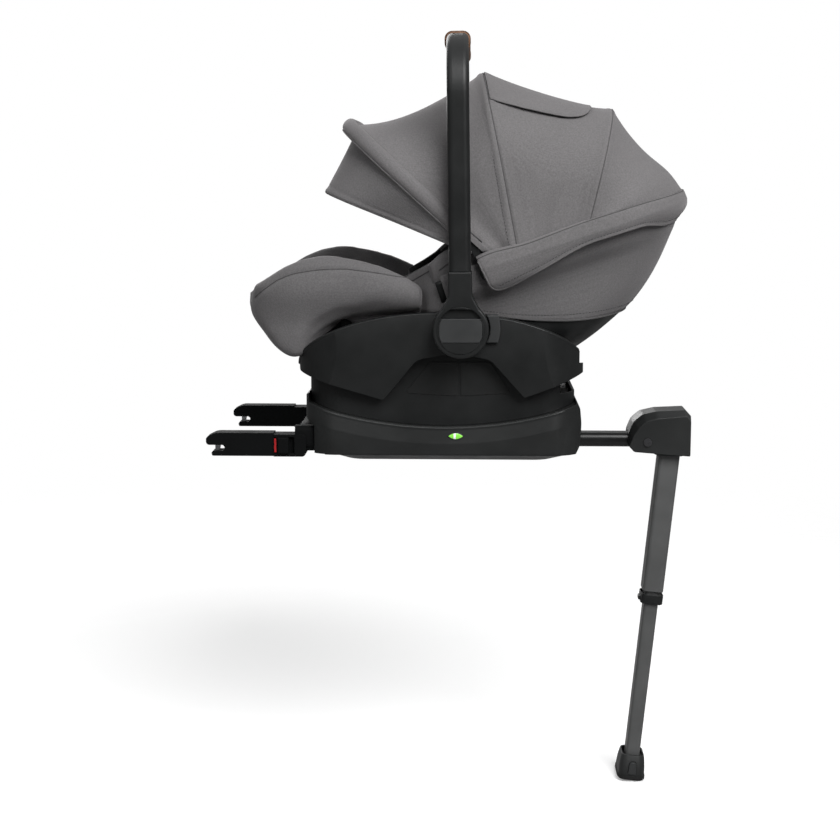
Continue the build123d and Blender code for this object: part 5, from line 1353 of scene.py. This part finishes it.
def leg_collar():
    """The collar at the outer tube's end, which hugs its last few millimetres, and the button in it."""
    low = (mesh_points(nodes["leg_collar"].data) @ LEG_DOWN).max()
    for node, body, paint in COLLAR_PARTS:
        piece = copied_mesh(f"{node}_short", node, paint)
        points = mesh_points(piece.data)
        along = points @ LEG_DOWN
        set_points(piece.data, points + np.outer((low - along) * (1 - COLLAR_SHARE), LEG_DOWN))
        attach(piece, body)


COVER_MID_X, COVER_HALF_LENGTH, LIP_Z, COVER_RISE = -28.0, 208.5, 137.0, 81.0
COVER_HALF, COVER_PROUD, COVER_PLAN_R = 186.0, 2.0, 78.0
DOME, DOME_CHORD = 9.0, 79.5
RIM_BEAD, RIM_BEAD_IN, RIM_BEAD_DOWN = (2.6, 2.4), 2.2, 1.6
RIM_END_FOOT, RIM_END_HEAD = 112, 152


def cover_rims():
    """A rolled bead along the top edge of each side cover."""
    mid = (LIP_Z + HUB_Z) / 2
    radius = (DOME_CHORD**2 + DOME**2) / (2 * DOME)
    for side, label in SIDES:
        line = []
        for angle in np.linspace(math.pi * 0.985, math.pi * 0.015, 150):
            x = COVER_MID_X + COVER_HALF_LENGTH * math.cos(angle)
            z = LIP_Z + COVER_RISE * math.sin(angle)
            outer = COVER_HALF - radius + math.sqrt(radius**2 - (z - mid) ** 2)
            beyond = abs(x - COVER_MID_X) - (COVER_HALF_LENGTH - COVER_PLAN_R)
            if beyond > 0:
                plan = COVER_HALF + COVER_PROUD - COVER_PLAN_R + math.sqrt(max(COVER_PLAN_R**2 - beyond**2, 0))
                outer = min(outer, plan)
            if outer > (RIM_END_HEAD if x > COVER_MID_X else RIM_END_FOOT):
                line.append((x, side * (outer - RIM_BEAD_IN), z - RIM_BEAD_DOWN))
        line = smoothed(line, 4)
        ups = unit((line - (COVER_MID_X, 0, LIP_Z)) * (1, 0, 2.5) + (0, 0, 60))
        cord(f"cover_rim_{label}", "carrier", line, ups, RIM_BEAD, "shell", 12)


ROCKER_MID_X, ROCKER_Z, ROCKER_R = -25.0, 54.0, 618.6
BASE_HALF, BASE_ROUND, BASE_FOOT_X, BASE_HEAD_X = 172.0, 46.0, -226.0, 176.0
SILL_PLACES = ((-212, -180, 14), (-176, 126, 60), (130, 162, 14))
SILL_DROPS = (0.0, 0.7, 1.8, 3.2, 5.0, 23.0, 24.2, 25.4)
SILL_PROUDS = (-0.6, 0.8, 1.1, 0.35, 0.5, 2.3, 2.4, 2.25)
SILL_LOW, SILL_SINK, SILL_FOOT = 13.0, 0.6, 0.25


def base_sills():
    """The creased face below the rocker's edge on each side of the base."""
    for side, label in SIDES:
        columns = []
        for x in np.concatenate([np.linspace(*run) for run in SILL_PLACES]):
            top = ROCKER_Z + ROCKER_R - math.sqrt(ROCKER_R**2 - (x - ROCKER_MID_X) ** 2) - 1.0
            beyond = max(BASE_FOOT_X + BASE_ROUND - x, x - BASE_HEAD_X + BASE_ROUND, 0.0)
            face = BASE_HALF - BASE_ROUND + math.sqrt(BASE_ROUND**2 - beyond**2)
            stay = 1 - float(ramp(beyond, 4, 30))
            column = list(zip(SILL_DROPS, SILL_PROUDS))
            (drop, proud), rest = column[-1], top - SILL_LOW - SILL_DROPS[-1]
            for share in np.linspace(0.08, 1, 12):
                column.append((drop + rest * share, proud * (1 - share) + SILL_FOOT * share))
            column.append((top - SILL_LOW + 0.4, -SILL_SINK))
            columns.append([(x, side * (face + (p + SILL_SINK) * stay - SILL_SINK), top - d) for d, p in column])
        grid = np.array(columns).transpose(1, 0, 2)
        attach(grid_piece(f"base_sill_{label}", grid, "base", side < 0), "base")


LENS_X, LENS_Z, LENS_BACK = -7.0, 40.5, 1.5
# The sight glass: piece, half length, half height, face, dome, paint and the reach along it.
LENS_PARTS = (
    ("lock_rim", 12.2, 5.9, 174.0, 0.4, "label", (-1.0, 1.0)),
    ("lock_lens", 10.4, 4.3, 174.3, 0.9, "lens_green", (-1.0, 1.0)),
    ("lock_flag", 10.4, 4.3, 174.36, 0.9, "flag_white", (-0.3, 0.02)),
)


def lock_lenses():
    """The sight glass on each side of the base: a dark rim, a green lens and a white flag, pointed ovals all."""
    for side, label in SIDES:
        for name, long, high, face, dome, paint, reach in LENS_PARTS:
            rings = []
            for share in np.linspace(*reach, 25):
                x, full = LENS_X + long * share, 1 - share**2
                half = max(high * full, 0.02)
                ring = [(face + dome * full * (1 - k**2), LENS_Z + half * k) for k in np.linspace(-1, 1, 11)]
                ring = [(face - LENS_BACK, LENS_Z - half), *ring, (face - LENS_BACK, LENS_Z + half)]
                rings.append([(x, side * out, z) for out, z in ring])
            piece = grid_piece(f"{name}_{label}", np.array(rings), paint, side > 0)
            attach(piece, "base")
            if side < 0 and paint == "lens_green":
                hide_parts("lock_indicators")


def build():
    front = front_panel()
    mid, shares = mid_panel()
    visor_wire()
    visor_panel()
    hem_roll(front)
    bow_seams(front, mid)
    vent_flap(mid, shares)
    rear_hood()
    back_bucket()
    back_cover()
    band()
    leg_collar()
    anchor_sleeves()
    liner()
    wing_tips()
    leg_rest()
    small_pads()
    straps()
    grip()
    cover_rims()
    base_sills()
    lock_lenses()


build()
